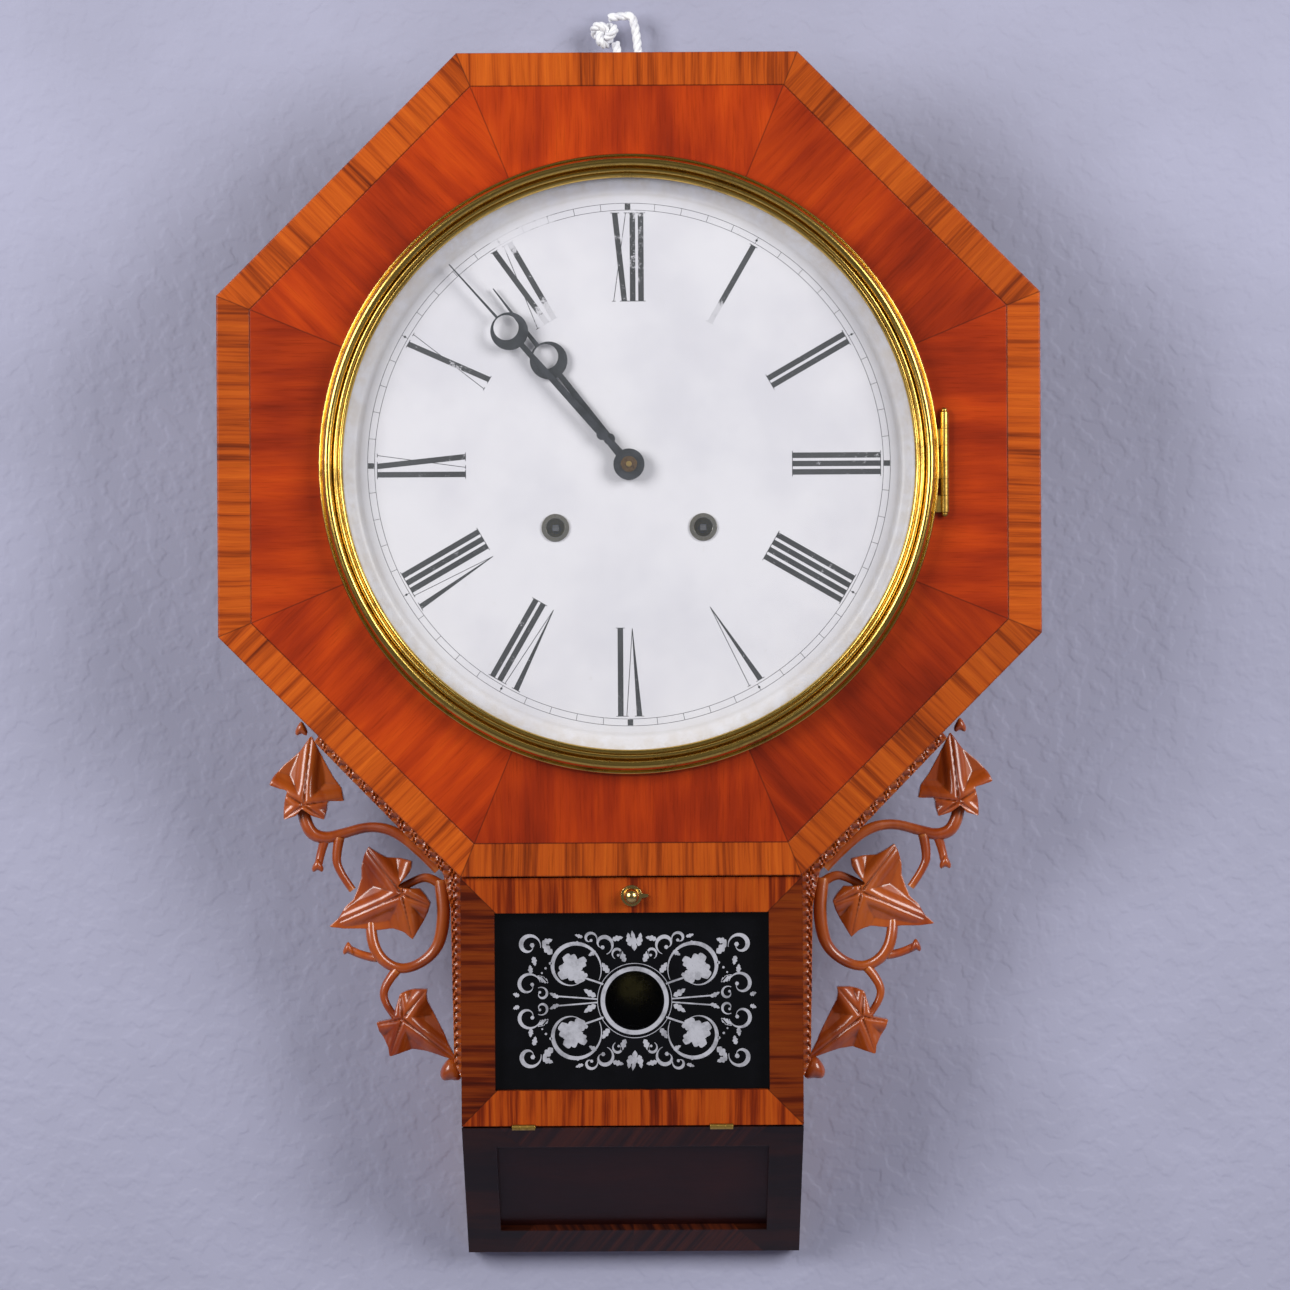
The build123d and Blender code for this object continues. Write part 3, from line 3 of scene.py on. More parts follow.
import bpy
from mathutils import Matrix, Vector
from mathutils.geometry import interpolate_bezier


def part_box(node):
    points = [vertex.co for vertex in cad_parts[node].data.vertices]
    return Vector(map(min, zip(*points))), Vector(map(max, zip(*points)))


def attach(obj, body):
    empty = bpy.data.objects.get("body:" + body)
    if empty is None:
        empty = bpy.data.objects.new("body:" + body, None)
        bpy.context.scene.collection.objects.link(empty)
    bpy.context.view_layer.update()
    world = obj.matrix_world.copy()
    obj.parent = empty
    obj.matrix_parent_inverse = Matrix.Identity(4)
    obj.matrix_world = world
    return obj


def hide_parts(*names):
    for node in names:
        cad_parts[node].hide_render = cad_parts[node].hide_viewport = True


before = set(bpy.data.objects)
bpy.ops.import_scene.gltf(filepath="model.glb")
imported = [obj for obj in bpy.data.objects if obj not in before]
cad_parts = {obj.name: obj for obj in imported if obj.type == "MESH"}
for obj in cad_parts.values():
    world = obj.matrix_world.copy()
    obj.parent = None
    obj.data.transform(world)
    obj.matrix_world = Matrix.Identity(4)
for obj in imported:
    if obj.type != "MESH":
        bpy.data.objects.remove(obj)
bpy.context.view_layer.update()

# Drop dial wall clock. Everything is in metres; the dial's axis is X = 0, Z = 0 and the wall is Y = 0.
MM = 0.001
OCTAGON_HALF = 0.2225
CROSSBAND = 0.018
DIAL_FRONT = 0.095


def srgb(code):
    """Linear colour from a six-digit code."""
    values = [int(code[i : i + 2], 16) / 255 for i in (0, 2, 4)]
    linear = [v / 12.92 if v <= 0.04045 else ((v + 0.055) / 1.055) ** 2.4 for v in values]
    return (*linear, 1.0)


class Value:
    """A number in a material's node tree, so that shader maths is written as Python."""

    def __init__(self, finish, socket):
        self.finish = finish
        self.socket = socket

    def maths(self, operation, *others):
        sockets = dict(enumerate((self, *others)))
        return self.finish.node("ShaderNodeMath", {"operation": operation}, sockets)

    def __add__(self, other):
        return self.maths("ADD", other)

    def __sub__(self, other):
        return self.maths("SUBTRACT", other)

    def __mul__(self, other):
        return self.maths("MULTIPLY", other)

    def __rsub__(self, other):
        return self.finish.node("ShaderNodeMath", {"operation": "SUBTRACT"}, {0: other, 1: self})

    def __gt__(self, other):
        return self.maths("GREATER_THAN", other)

    def __lt__(self, other):
        return self.maths("LESS_THAN", other)

    __radd__ = __add__
    __rmul__ = __mul__

    def ramp(self, low, high):
        """0 below low and 1 above high, smooth between them."""
        return self.finish.node(
            "ShaderNodeMapRange",
            {"interpolation_type": "SMOOTHSTEP"},
            {"Value": self, "From Min": low, "From Max": high},
        )


class Finish:
    """A material on the principled shader. Its methods add nodes and give values back."""

    def __init__(self, name, **constants):
        self.material = bpy.data.materials.new(name)
        self.material.use_nodes = True
        self.tree = self.material.node_tree
        self.shader = self.tree.nodes["Principled BSDF"]
        self.set(**constants)

    def node(self, kind, settings, sockets, out=0):
        node = self.tree.nodes.new(kind)
        for name, setting in settings.items():
            if name == "stops":
                ramp = node.color_ramp
                while len(ramp.elements) < len(setting):
                    ramp.elements.new(0.5)
                for element, (place, colour) in zip(ramp.elements, setting):
                    element.position = place
                    element.color = colour
            else:
                setattr(node, name, setting)
        for name, value in sockets.items():
            self.feed(node.inputs[name], value)
        return Value(self, node.outputs[out])

    def feed(self, socket, value):
        if isinstance(value, Value):
            self.tree.links.new(value.socket, socket)
        else:
            socket.default_value = value

    def set(self, **values):
        for name, value in values.items():
            self.feed(self.shader.inputs[name.replace("_", " ")], value)
        return self

    def place(self):
        """Object coordinates as three numbers."""
        where = self.node("ShaderNodeTexCoord", {}, {}, out=3)
        return [self.node("ShaderNodeSeparateXYZ", {}, {0: where}, out=k) for k in range(3)]

    def point(self, x, y, z):
        return self.node("ShaderNodeCombineXYZ", {}, {0: x, 1: y, 2: z})

    def noise(self, where, scale, detail=3.0, roughness=0.55, distortion=0.0):
        return self.node(
            "ShaderNodeTexNoise",
            {},
            {
                "Vector": where,
                "Scale": scale,
                "Detail": detail,
                "Roughness": roughness,
                "Distortion": distortion,
            },
        )

    def colours(self, value, *stops):
        return self.node(
            "ShaderNodeValToRGB",
            {"stops": [(place, srgb(code)) for place, code in stops]},
            {0: value},
        )

    def mix(self, share, a, b):
        return self.node("ShaderNodeMix", {"data_type": "RGBA"}, {0: share, 6: a, 7: b}, out=2)

    def shade(self, colour, amount):
        """A colour multiplied by a number that changes over the surface."""
        grey = self.node("ShaderNodeCombineColor", {}, {0: amount, 1: amount, 2: amount})
        return self.node(
            "ShaderNodeMix",
            {"data_type": "RGBA", "blend_type": "MULTIPLY"},
            {0: 1.0, 6: colour, 7: grey},
            out=2,
        )

    def bump(self, height, distance, strength=1.0, normal=None):
        sockets = {"Height": height, "Distance": distance, "Strength": strength}
        if normal:
            sockets["Normal"] = normal
        return self.node("ShaderNodeBump", {}, sockets)

    def rounded(self, radius):
        """A normal that rounds sharp edges."""
        return self.node("ShaderNodeBevel", {"samples": 4}, {"Radius": radius})


def spread_grain(finish, along, across, seed, fine, warp=0.004):
    """Wood figure: long streaks along the grain and broad light and dark patches."""
    wobble = finish.noise(finish.point(along * 9, across * 9, seed), 1.0, 2.0)
    bent = across + (wobble - 0.5) * warp
    streaks = finish.noise(finish.point(along * 7, bent * fine, seed), 1.0, 5.0, 0.62)
    pores = finish.noise(finish.point(along * 60, bent * 1500, seed), 1.0, 2.0, 0.6)
    patches = finish.noise(finish.point(along * 14, across * 26, seed + 31.7), 1.0, 2.0)
    return streaks, pores, patches


def octagon_grain(finish):
    """Distance out from the centre, distance along the side, and a number for each of the 8 panels."""
    x, _, z = finish.place()
    angle = z.maths("ARCTAN2", x)
    side = (angle * (4 / pi)).maths("ROUND")
    turn = side * (pi / 4)
    c = turn.maths("COSINE")
    s = turn.maths("SINE")
    outwards = x * c + z * s
    sideways = z * c - x * s
    return outwards, sideways, side


def veneer(name, kind):
    """The octagon's two veneers: mottled field panels, and the streaked crossband round them."""
    finish = Finish(name, Coat_Weight=0.3, Coat_Roughness=0.12, Specular_IOR_Level=0.25)
    outwards, sideways, side = octagon_grain(finish)
    seed = side * 7.31 + 3.1
    if kind == "field":
        streaks, pores, patches = spread_grain(finish, outwards, sideways, seed, 90)
        tone = streaks * 0.5 + patches * 0.5
        colour = finish.colours(
            tone, (0.3, "6B1902"), (0.44, "8B2603"), (0.56, "A43404"), (0.72, "BC4708")
        )
    else:
        streaks, pores, patches = spread_grain(finish, outwards, sideways, seed, 260, 0.006)
        bands = finish.noise(finish.point(outwards * 4, sideways * 42, seed + 5), 1.0, 3.0)
        tone = streaks * 0.62 + patches * 0.18 + bands * 0.2
        colour = finish.colours(
            tone, (0.33, "491403"), (0.43, "853306"), (0.5, "A6460B"), (0.66, "BD5812")
        )
    panel = finish.noise(finish.point(seed, 0.0, 0.0), 3.7, 0.0)
    colour = finish.shade(colour, panel * 0.5 + 0.77)
    colour = finish.shade(colour, pores.ramp(0.25, 0.5) * 0.22 + 0.8)
    mitre = (sideways.maths("ABSOLUTE") - outwards * tan(pi / 8)).maths("ABSOLUTE")
    edge = (outwards - (OCTAGON_HALF - CROSSBAND)).maths("ABSOLUTE")
    seam = 1 - mitre.maths("MINIMUM", edge).ramp(0.0001, 0.0006)
    colour = finish.mix(seam * 0.55, colour, srgb("2A0E04"))
    relief = finish.bump(pores + streaks * 0.5, 0.00008, 0.5, finish.rounded(0.0012))
    finish.set(Base_Color=colour, Roughness=0.26 + pores * 0.14, Normal=relief)
    return finish.material


def straight_wood(name, axis, stops, fine=200, roughness=0.3, coat=0.3, mitre=None, edge=0.0008):
    """Wood whose grain runs along one axis; with mitre, it turns in a frame round that centre, and the
    frame's uprights get painted shade.
    """
    finish = Finish(name, Coat_Weight=coat, Coat_Roughness=0.12, Specular_IOR_Level=0.2)
    x, y, z = finish.place()
    depth = y
    if axis == "x":
        along, across = x, z
    else:
        along, across = z, x
    seed = 2.0
    if mitre:
        mid_x, mid_z, half_width, half_height, kind = mitre
        from_side = half_width - (x - mid_x).maths("ABSOLUTE")
        from_end = half_height - (z - mid_z).maths("ABSOLUTE")
        stile = from_side < from_end
        if kind == "crossed":
            along = stile * x + (1 - stile) * z
            across = stile * z + (1 - stile) * x
        else:
            along = stile * z + (1 - stile) * x
            across = stile * x + (1 - stile) * z
        seed = stile * 9.0 + (x > mid_x) * 4.1 + (z > mid_z) * 2.3
    streaks, pores, patches = spread_grain(finish, along, across + depth * 0.7, seed, fine)
    tone = streaks * 0.7 + patches * 0.3
    colour = finish.colours(tone, *stops)
    colour = finish.shade(colour, pores.ramp(0.25, 0.5) * 0.2 + 0.8)
    if mitre:
        seam = 1 - (from_side - from_end).maths("ABSOLUTE").ramp(0.0001, 0.0006)
        # Painted shade: the frame's uprights are darkened against its level parts of the same wood.
        colour = finish.shade(colour, 1 - stile * STILE_PAINTED_SHADE)
        colour = finish.mix(seam * 0.6, colour, srgb("1E0A04"))
    relief = finish.bump(pores + streaks * 0.5, 0.00008, 0.5, finish.rounded(edge))
    finish.set(Base_Color=colour, Roughness=roughness - 0.05 + pores * 0.14, Normal=relief)
    return finish.material


# Painted shade: how much darker the upright parts of a mitred frame are painted than the level ones.
STILE_PAINTED_SHADE = 0.55


def metal(name, light, dark, roughness=0.25, grime=0.5, scale=60.0, metallic=1.0, edge=0.0003):
    """Old metal: clean where it is rubbed, dull and darker in patches."""
    finish = Finish(name, Metallic=metallic)
    where = finish.point(*finish.place())
    stain = finish.noise(where, scale, 5.0, 0.65)
    fine = finish.noise(where, scale * 14, 3.0, 0.6)
    dull = (stain * 0.7 + fine * 0.3).ramp(0.42, 0.66) * grime
    colour = finish.mix(dull, srgb(light), srgb(dark))
    relief = finish.bump(fine, 0.00003, 0.4, finish.rounded(edge))
    finish.set(Base_Color=colour, Roughness=roughness + dull * 0.25 + fine * 0.06, Normal=relief)
    return finish.material


def enamel_white():
    """Old white dial paint with faint stains, yellow-brown patches towards the rim that are partly
    staining and partly painted bezel shadow, and a painted shade line at the rim's step.
    """
    finish = Finish("old_white_dial_paint", Roughness=0.42, Coat_Weight=0.15, Coat_Roughness=0.3)
    x, y, z = finish.place()
    r = (x * x + z * z).maths("SQRT")
    where = finish.point(x, y, z)
    cloud = finish.noise(where, 14, 4.0, 0.6)
    speck = finish.noise(where, 260, 3.0, 0.7)
    colour = finish.mix(cloud.ramp(0.35, 0.7), srgb("D5D3D7"), srgb("C9C7CD"))
    colour = finish.mix((speck > 0.71) * 0.35, colour, srgb("B8B2AC"))
    # Towards the rim: yellow-brown patches, partly staining and partly painted shadow of the bezel.
    rim = r.ramp(0.140, 0.156)
    rim_stain_and_shadow_patches = finish.noise(finish.point(x * 3, y, z * 3), 30, 5.0, 0.7)
    colour = finish.mix(rim * rim_stain_and_shadow_patches.ramp(0.35, 0.65) * 0.5, colour, srgb("B7A790"))
    # Painted shade: a thin grey line where the flat of the dial meets its rising rim.
    edge = (r - 0.1462).maths("ABSOLUTE")
    colour = finish.mix((1 - edge.ramp(0.0, 0.0016)) * 0.18, colour, srgb("A79F98"))
    finish.set(Base_Color=colour, Roughness=0.36 + cloud * 0.16)
    finish.set(Normal=finish.bump(cloud + speck * 0.3, 0.0001, 0.25))
    return finish.material


def worn_print():
    """Black numerals with rubbed patches, faded most near ten, eleven and twelve."""
    finish = Finish("rubbed_black_print", Roughness=0.5)
    x, y, z = finish.place()
    where = finish.point(x, y, z)
    coarse = finish.noise(where, 120, 4.0, 0.7)
    fine = finish.noise(where, 900, 3.0, 0.7)
    # Places as (X, Z, reach, how much is rubbed off)
    faded = finish.noise(where, 8, 1.0) * 0.04
    for px, pz, reach, amount in FADED_PLACES:
        away = ((x - px) * (x - px) + (z - pz) * (z - pz)).maths("SQRT")
        faded = faded.maths("MAXIMUM", (1 - away.ramp(reach * 0.35, reach)) * amount)
    rubbed = (coarse * 0.55 + fine * 0.45 + faded).ramp(0.6, 0.72)
    colour = finish.mix(rubbed, srgb("222226"), srgb("BDBBC0"))
    finish.set(Base_Color=colour)
    return finish.material


FADED_PLACES = [
    (-0.090, 0.060, 0.016, 0.10),
    (-0.076, 0.076, 0.014, 0.20),
    (-0.066, 0.128, 0.018, 0.26),
    (-0.044, 0.082, 0.012, 0.24),
    (0.0, 0.112, 0.03, 0.08),
    (0.046, 0.080, 0.014, 0.26),
    (-0.060, 0.140, 0.030, 0.26),
    (0.006, 0.143, 0.02, 0.1),
]


def case_sides():
    """Mahogany of the octagon's edge and the box behind it."""
    return straight_wood(
        "polished_case_mahogany",
        "z",
        [(0.3, "581703"), (0.45, "7B2605"), (0.55, "933307"), (0.7, "A4420C")],
    )


def glass(name, tint, alpha, roughness=0.03):
    finish = Finish(name, Alpha=alpha, Coat_Weight=0.0)
    where = finish.point(*finish.place())
    smear = finish.noise(where, 22, 4.0, 0.6)
    finish.set(Base_Color=srgb(tint), Roughness=smear * 0.04 + roughness)
    finish.set(Alpha=smear.ramp(0.3, 0.8) * alpha * 0.6 + alpha * 0.7)
    return finish.material


def tablet_black():
    """Glass painted black behind, but for a round window in front of the bob."""
    finish = Finish("black_backed_glass", Specular_IOR_Level=0.4)
    x, y, z = finish.place()
    dx = x - WINDOW_CENTRE[0]
    dz = z - WINDOW_CENTRE[1]
    away = (dx * dx + dz * dz).maths("SQRT")
    painted = away.ramp(WINDOW_RADIUS - 0.0002, WINDOW_RADIUS + 0.0002)
    where = finish.point(x, y, z)
    dust = finish.noise(where, 700, 3.0, 0.75)
    cloud = finish.noise(where, 40, 4.0, 0.65)
    colour = finish.mix(cloud.ramp(0.4, 0.7) * 0.6, srgb("060608"), srgb("0C0C10"))
    colour = finish.mix((dust > 0.74) * 0.25, colour, srgb("3A3C44"))
    finish.set(Base_Color=colour, Roughness=0.08 + cloud * 0.1, Alpha=painted * 0.86 + 0.14)
    return finish.material


def silver_print():
    """The tablet's silver ornament, a little tarnished."""
    finish = Finish("tarnished_silver_print", Metallic=0.35, Coat_Weight=0.4)
    where = finish.point(*finish.place())
    grain = finish.noise(where, 1500, 3.0, 0.7)
    cloud = finish.noise(where, 90, 4.0, 0.7)
    colour = finish.mix(cloud.ramp(0.4, 0.68), srgb("B9B9C0"), srgb("8C8C92"))
    colour = finish.mix((grain > 0.66) * 0.5, colour, srgb("55565C"))
    finish.set(Base_Color=colour, Roughness=0.4 + grain * 0.3)
    return finish.material


def blued(name="blue_black_hand_steel"):
    finish = Finish(name, Metallic=0.3, Coat_Weight=0.2, Coat_Roughness=0.25)
    where = finish.point(*finish.place())
    cloud = finish.noise(where, 120, 4.0, 0.65)
    fine = finish.noise(where, 1800, 2.0, 0.6)
    colour = finish.mix(cloud.ramp(0.38, 0.66), srgb("14171F"), srgb("2E3038"))
    colour = finish.mix((fine > 0.7) * 0.35, colour, srgb("50463C"))
    finish.set(Base_Color=colour, Roughness=0.36 + fine * 0.16)
    finish.set(Normal=finish.bump(fine, 0.00002, 0.4, finish.rounded(0.0003)))
    return finish.material


def turned_brass(name, light, dark, axis_x=0.0, axis_z=0.0, rings=2200, grime=0.7):
    """Brass with fine turning lines round an axis, tarnished in its hollows."""
    finish = Finish(name, Metallic=1.0)
    x, y, z = finish.place()
    dx = x - axis_x
    dz = z - axis_z
    r = (dx * dx + dz * dz).maths("SQRT")
    where = finish.point(x, y, z)
    lines = finish.noise(finish.point(r * rings, 0.0, y * 40), 1.0, 1.0)
    stain = finish.noise(where, 38, 5.0, 0.7)
    spots = finish.noise(where, 420, 3.0, 0.7)
    dull = (stain * 0.8 + spots * 0.2).ramp(0.46, 0.7) * grime
    colour = finish.mix(dull, srgb(light), srgb(dark))
    relief = finish.bump(lines, 0.00001, 0.2, finish.rounded(0.0004))
    finish.set(Base_Color=colour, Roughness=0.16 + dull * 0.26 + lines * 0.08, Normal=relief)
    return finish.material


# The window in the tablet, and the door's frame, as the solids have them
WINDOW_CENTRE = (0.0014, -0.2904)
WINDOW_RADIUS = 0.0155
DOOR_LOW, DOOR_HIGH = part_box("door_frame")
DOOR_MIDDLE = (DOOR_LOW.z + DOOR_HIGH.z) / 2
DOOR_HALF = (DOOR_HIGH.z - DOOR_LOW.z) / 2
CHIN_LOW, CHIN_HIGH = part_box("chin_frame")
CHIN_MIDDLE = (CHIN_LOW.z + CHIN_HIGH.z) / 2
CHIN_HALF = (CHIN_HIGH.z - CHIN_LOW.z) / 2

DOOR_STOPS = [(0.32, "3B0C02"), (0.44, "6E2103"), (0.52, "993C09"), (0.68, "AC4D0E")]
# The chin frame's and panel's colours are darkened with painted shade for the chin's downward slope.
CHIN_SHADED_STOPS = [(0.34, "14060A"), (0.46, "2A100A"), (0.56, "431A0C"), (0.7, "5C280E")]
PANEL_SHADED_STOPS = [(0.3, "1A0808"), (0.5, "260C0A"), (0.7, "34120C")]
PINE_STOPS = [(0.3, "6A4A2C"), (0.45, "8A6844"), (0.55, "A07E54"), (0.7, "B08E62")]

FINISHES = {
    "crossband": veneer("streaked_crossband_veneer", "crossband"),
    "field": veneer("mottled_field_veneer", "field"),
    "case": case_sides(),
    "pine": straight_wood("old_pine", "z", PINE_STOPS, 160, 0.6, 0.0),
    "door": straight_wood(
        "crossbanded_door_veneer",
        "x",
        DOOR_STOPS,
        240,
        mitre=(0.0, DOOR_MIDDLE, 0.0925, DOOR_HALF, "crossed"),
    ),
    "stops": straight_wood("plain_stop_wood", "x", DOOR_STOPS, 200, 0.5, 0.1),
    # The chin's colours carry painted shade for its downward slope.
    "chin": straight_wood(
        "shaded_chin_veneer",
        "x",
        CHIN_SHADED_STOPS,
        240,
        coat=0.08,
        mitre=(0.0, CHIN_MIDDLE, 0.0925, CHIN_HALF + 0.02, "crossed"),
    ),
    "panel": straight_wood("shaded_chin_panel", "x", PANEL_SHADED_STOPS, 150, 0.34, 0.05),
    "bezel": turned_brass("turned_bezel_brass", "D9B45C", "5E431A"),
    "ring": metal("dull_ring_brass", "A08448", "3C2E18", 0.4, 0.9),
    "hinge": metal("worn_hinge_brass", "D4AE58", "6A4C20", 0.28, 0.7),
    "knob": turned_brass("turned_knob_brass", "E0C078", "6A4E22", 0.0, -0.2331, 3000, 0.6),
    "movement": metal("satin_movement_brass", "C0A058", "7A6030", 0.34, 0.5),
    "bob": turned_brass("olive_bob_brass", "8E8248", "4A4426", 0.0, -0.292, 1600, 0.8),
    "steel": metal("satin_steel", "9A9AA0", "5A5654", 0.32, 0.6),
    "gong": metal("blue_gong_steel", "5A5E6A", "3A3434", 0.4, 0.7),
    "grommet": metal("worn_grommet_nickel", "8E8A80", "4A4234", 0.32, 0.9),
    "collet": metal("brown_collet_brass", "7A5A34", "2E2014", 0.35, 0.9, 300),
    "peg": straight_wood("turned_peg_wood", "z", PINE_STOPS, 300, 0.55, 0.0),
    "hands": blued(),
    "dial": enamel_white(),
    "print": worn_print(),
    "clear": glass("thin_clear_glass", "EEF4F6", 0.03),
    "tablet": tablet_black(),
    "silver": silver_print(),
}

# Which finish each solid has; the steel list is the movement's small steel work
NODE_FINISHES = {
    "crossband": ["veneer_crossband"],
    "field": ["veneer_field"],
    "case": ["octagon_frame", "case_shoulders", "drop_sides"],
    "pine": ["backboard", "head_boards"],
    "door": ["door_frame"],
    "stops": ["tablet_stops"],
    "chin": ["chin_frame"],
    "panel": ["chin_panel"],
    "bezel": ["bezel"],
    "ring": ["glass_ring"],
    "hinge": [
        "bezel_hinge_leaf",
        "case_hinge_leaf",
        "door_hinge_case_leaves",
        "door_hinge_door_leaves",
        "hinge_pins",
    ],
    "knob": ["latch_knob"],
    "movement": [
        "back_plate",
        "front_plate",
        "movement_pillars",
        "cannon_pinion",
        "hour_wheel",
        "minute_wheel",
        "centre_wheel",
        "second_wheel",
        "third_wheel",
        "time_main_wheel",
        "strike_main_wheel",
        "strike_second_wheel",
        "strike_pin_wheel",
        "strike_warning_wheel",
        "strike_fly",
        "escape_wheel",
    ],
    "bob": ["pendulum_bob", "rating_nut"],
    "steel": [
        "dial_screws",
        "mainsprings",
        "pendulum_rod",
        "strike_click",
        "strike_hammer",
        "strike_winding_arbor",
        "suspension_stud",
        "time_click",
        "time_winding_arbor",
        "verge",
    ],
    "gong": ["gong"],
    "grommet": ["winding_grommets"],
    "collet": ["hand_collet"],
    "peg": ["hanging_peg"],
    "hands": ["hour_hand", "minute_hand"],
    "dial": ["dial"],
    "clear": ["bezel_glass"],
    "tablet": ["tablet_glass"],
}


def paint(obj, finish):
    obj.data.materials.clear()
    obj.data.materials.append(FINISHES[finish])


for finish, names in NODE_FINISHES.items():
    for name in names:
        paint(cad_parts[name], finish)


def tidy_mesh(obj, angle=35):
    """Closes doubles, turns faces outwards and smooths all but the sharp edges."""
    bpy.ops.object.select_all(action="DESELECT")
    obj.select_set(True)
    bpy.context.view_layer.objects.active = obj
    bpy.ops.object.mode_set(mode="EDIT")
    bpy.ops.mesh.select_all(action="SELECT")
    bpy.ops.mesh.remove_doubles(threshold=0.000002)
    bpy.ops.mesh.normals_make_consistent(inside=False)
    bpy.ops.object.mode_set(mode="OBJECT")
    bpy.ops.object.shade_smooth_by_angle(angle=radians(angle))
    return obj



def flat_shape(name, outlines, front, thick, finish):
    """A thin shape seen from the front. Outlines are lists of (X, Z); one inside another is a hole."""
    curve = bpy.data.curves.new(name, "CURVE")
    curve.dimensions = "2D"
    curve.fill_mode = "BOTH"
    curve.extrude = thick / 2
    for outline in outlines:
        spline = curve.splines.new("POLY")
        spline.points.add(len(outline) - 1)
        for point, (x, z) in zip(spline.points, outline):
            point.co = (x, z, 0, 1)
        spline.use_cyclic_u = True
    obj = bpy.data.objects.new(name, curve)
    bpy.context.scene.collection.objects.link(obj)
    bpy.ops.object.select_all(action="DESELECT")
    obj.select_set(True)
    bpy.context.view_layer.objects.active = obj
    bpy.ops.object.convert(target="MESH")
    obj.rotation_euler = (pi / 2, 0, 0)
    obj.location = (0, -front - thick / 2, 0)
    bpy.ops.object.transform_apply(location=True, rotation=True, scale=True)
    obj.data.materials.clear()
    obj.data.materials.append(FINISHES[finish])
    return obj


def ring_outlines(cx, cz, inner, outer, count=96):
    turns = [2 * pi * k / count for k in range(count)]
    return [[(cx + r * cos(t), cz + r * sin(t)) for t in turns] for r in (inner, outer)]


# Numerals, in millimetres: a stroke is its left and right edges at the foot and at the head.
FOOT = 88.6
HEAD = 136.0
BAR = 3.0
HAIR = 0.34
SERIF = 0.9
PITCH = 4.5
NUMERAL_WIDTH = {"I": PITCH, "V": 10.4, "X": 9.6}
NUMERALS = ["XII", "I", "II", "III", "IIII", "V", "VI", "VII", "VIII", "IX", "X", "XI"]


def letter_strokes(letter, left):
    """The strokes of one letter, from its left edge, as (foot left, foot right, head left, head right)."""
    if letter == "I":
        middle = left + PITCH / 2
        bar = (middle - BAR / 2, middle + BAR / 2)
        serif = (bar[0] - SERIF, bar[1] + SERIF)
        return [(*bar, *bar)], [serif], [serif]
    if letter == "V":
        foot = left + 6.2
        thick = (foot - HAIR / 2, foot + HAIR / 2, left + 1.0, left + 1.0 + BAR)
        thin = (foot - HAIR / 2, foot + HAIR / 2, left + 9.2, left + 9.2 + HAIR)
        return [thick, thin], [], [(left, left + 5.0), (left + 8.4, left + 10.4)]
    thick = (left + 5.8, left + 5.8 + BAR, left + 0.8, left + 0.8 + BAR)
    thin = (left + 1.4, left + 1.4 + HAIR, left + 8.0, left + 8.0 + HAIR)
    feet = [(left + 0.6, left + 2.6), (left + 4.9, left + 9.6)]
    heads = [(left, left + 4.7), (left + 7.2, left + 9.2)]
    return [thick, thin], feet, heads


def numeral_outlines(text, hour):
    """One hour's numeral, feet towards the dial's centre."""
    turn = 2 * pi * hour / 12
    width = sum(NUMERAL_WIDTH[letter] for letter in text)
    left = -width / 2
    quads = []
    for letter in text:
        strokes, feet, heads = letter_strokes(letter, left)
        for foot_left, foot_right, head_left, head_right in strokes:
            quads.append([(foot_left, FOOT), (foot_right, FOOT), (head_right, HEAD), (head_left, HEAD)])
        for low, spans in ((FOOT - HAIR, feet), (HEAD, heads)):
            for a, b in spans:
                quads.append([(a, low), (b, low), (b, low + HAIR), (a, low + HAIR)])
        left += NUMERAL_WIDTH[letter]
    return [[on_dial(u, r, turn) for u, r in quad] for quad in quads]


def on_dial(sideways, outwards, turn):
    """A place on the dial from millimetres along and across the line to an hour."""
    x = outwards * sin(turn) + sideways * cos(turn)
    z = outwards * cos(turn) - sideways * sin(turn)
    return (x * MM, z * MM)


def dial_print():
    """The numerals and the minute track, printed on the dial."""
    level = DIAL_FRONT + 0.00002
    shapes = []
    for hour, text in enumerate(NUMERALS):
        for k, quad in enumerate(numeral_outlines(text, hour)):
            step = 0.00001 * (k % 3)
            shapes.append(flat_shape(f"numeral_{hour}_{k}", [quad], level, 0.00003 + step, "print"))
    track = []
    for inner, outer in ((137.55, 137.8), (141.3, 141.55)):
        track.append(ring_outlines(0, 0, inner * MM, outer * MM, 240))
    for outlines in track:
        shapes.append(flat_shape("track_line", outlines, level, 0.00003, "print"))
    for minute in range(60):
        turn = 2 * pi * minute / 60
        half = 0.12
        low, high = 137.7, 141.4
        if minute % 15 == 0:
            half, low, high = 1.5, 137.9, 141.2
        corners = [(-half, low), (half, low), (half, high), (-half, high)]
        quad = [on_dial(u, r, turn) for u, r in corners]
        shapes.append(flat_shape("minute_tick", [quad], level, 0.00004, "print"))
        if minute % 5 == 0 and minute % 15:
            x, z = on_dial(0, 139.5, turn)
            dot = [(x + 0.0007 * cos(k), z + 0.0007 * sin(k)) for k in range(6)]
            shapes.append(flat_shape("hour_dot", [dot], level, 0.00005, "print"))
    joined = join_pieces("printed_numerals_and_track", shapes)
    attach(joined, "case")


def join_pieces(name, pieces):
    bpy.ops.object.select_all(action="DESELECT")
    for piece in pieces:
        piece.select_set(True)
    bpy.context.view_layer.objects.active = pieces[0]
    bpy.ops.object.join()
    joined = bpy.context.object
    joined.name = name
    joined.data.name = name
    return joined


dial_print()



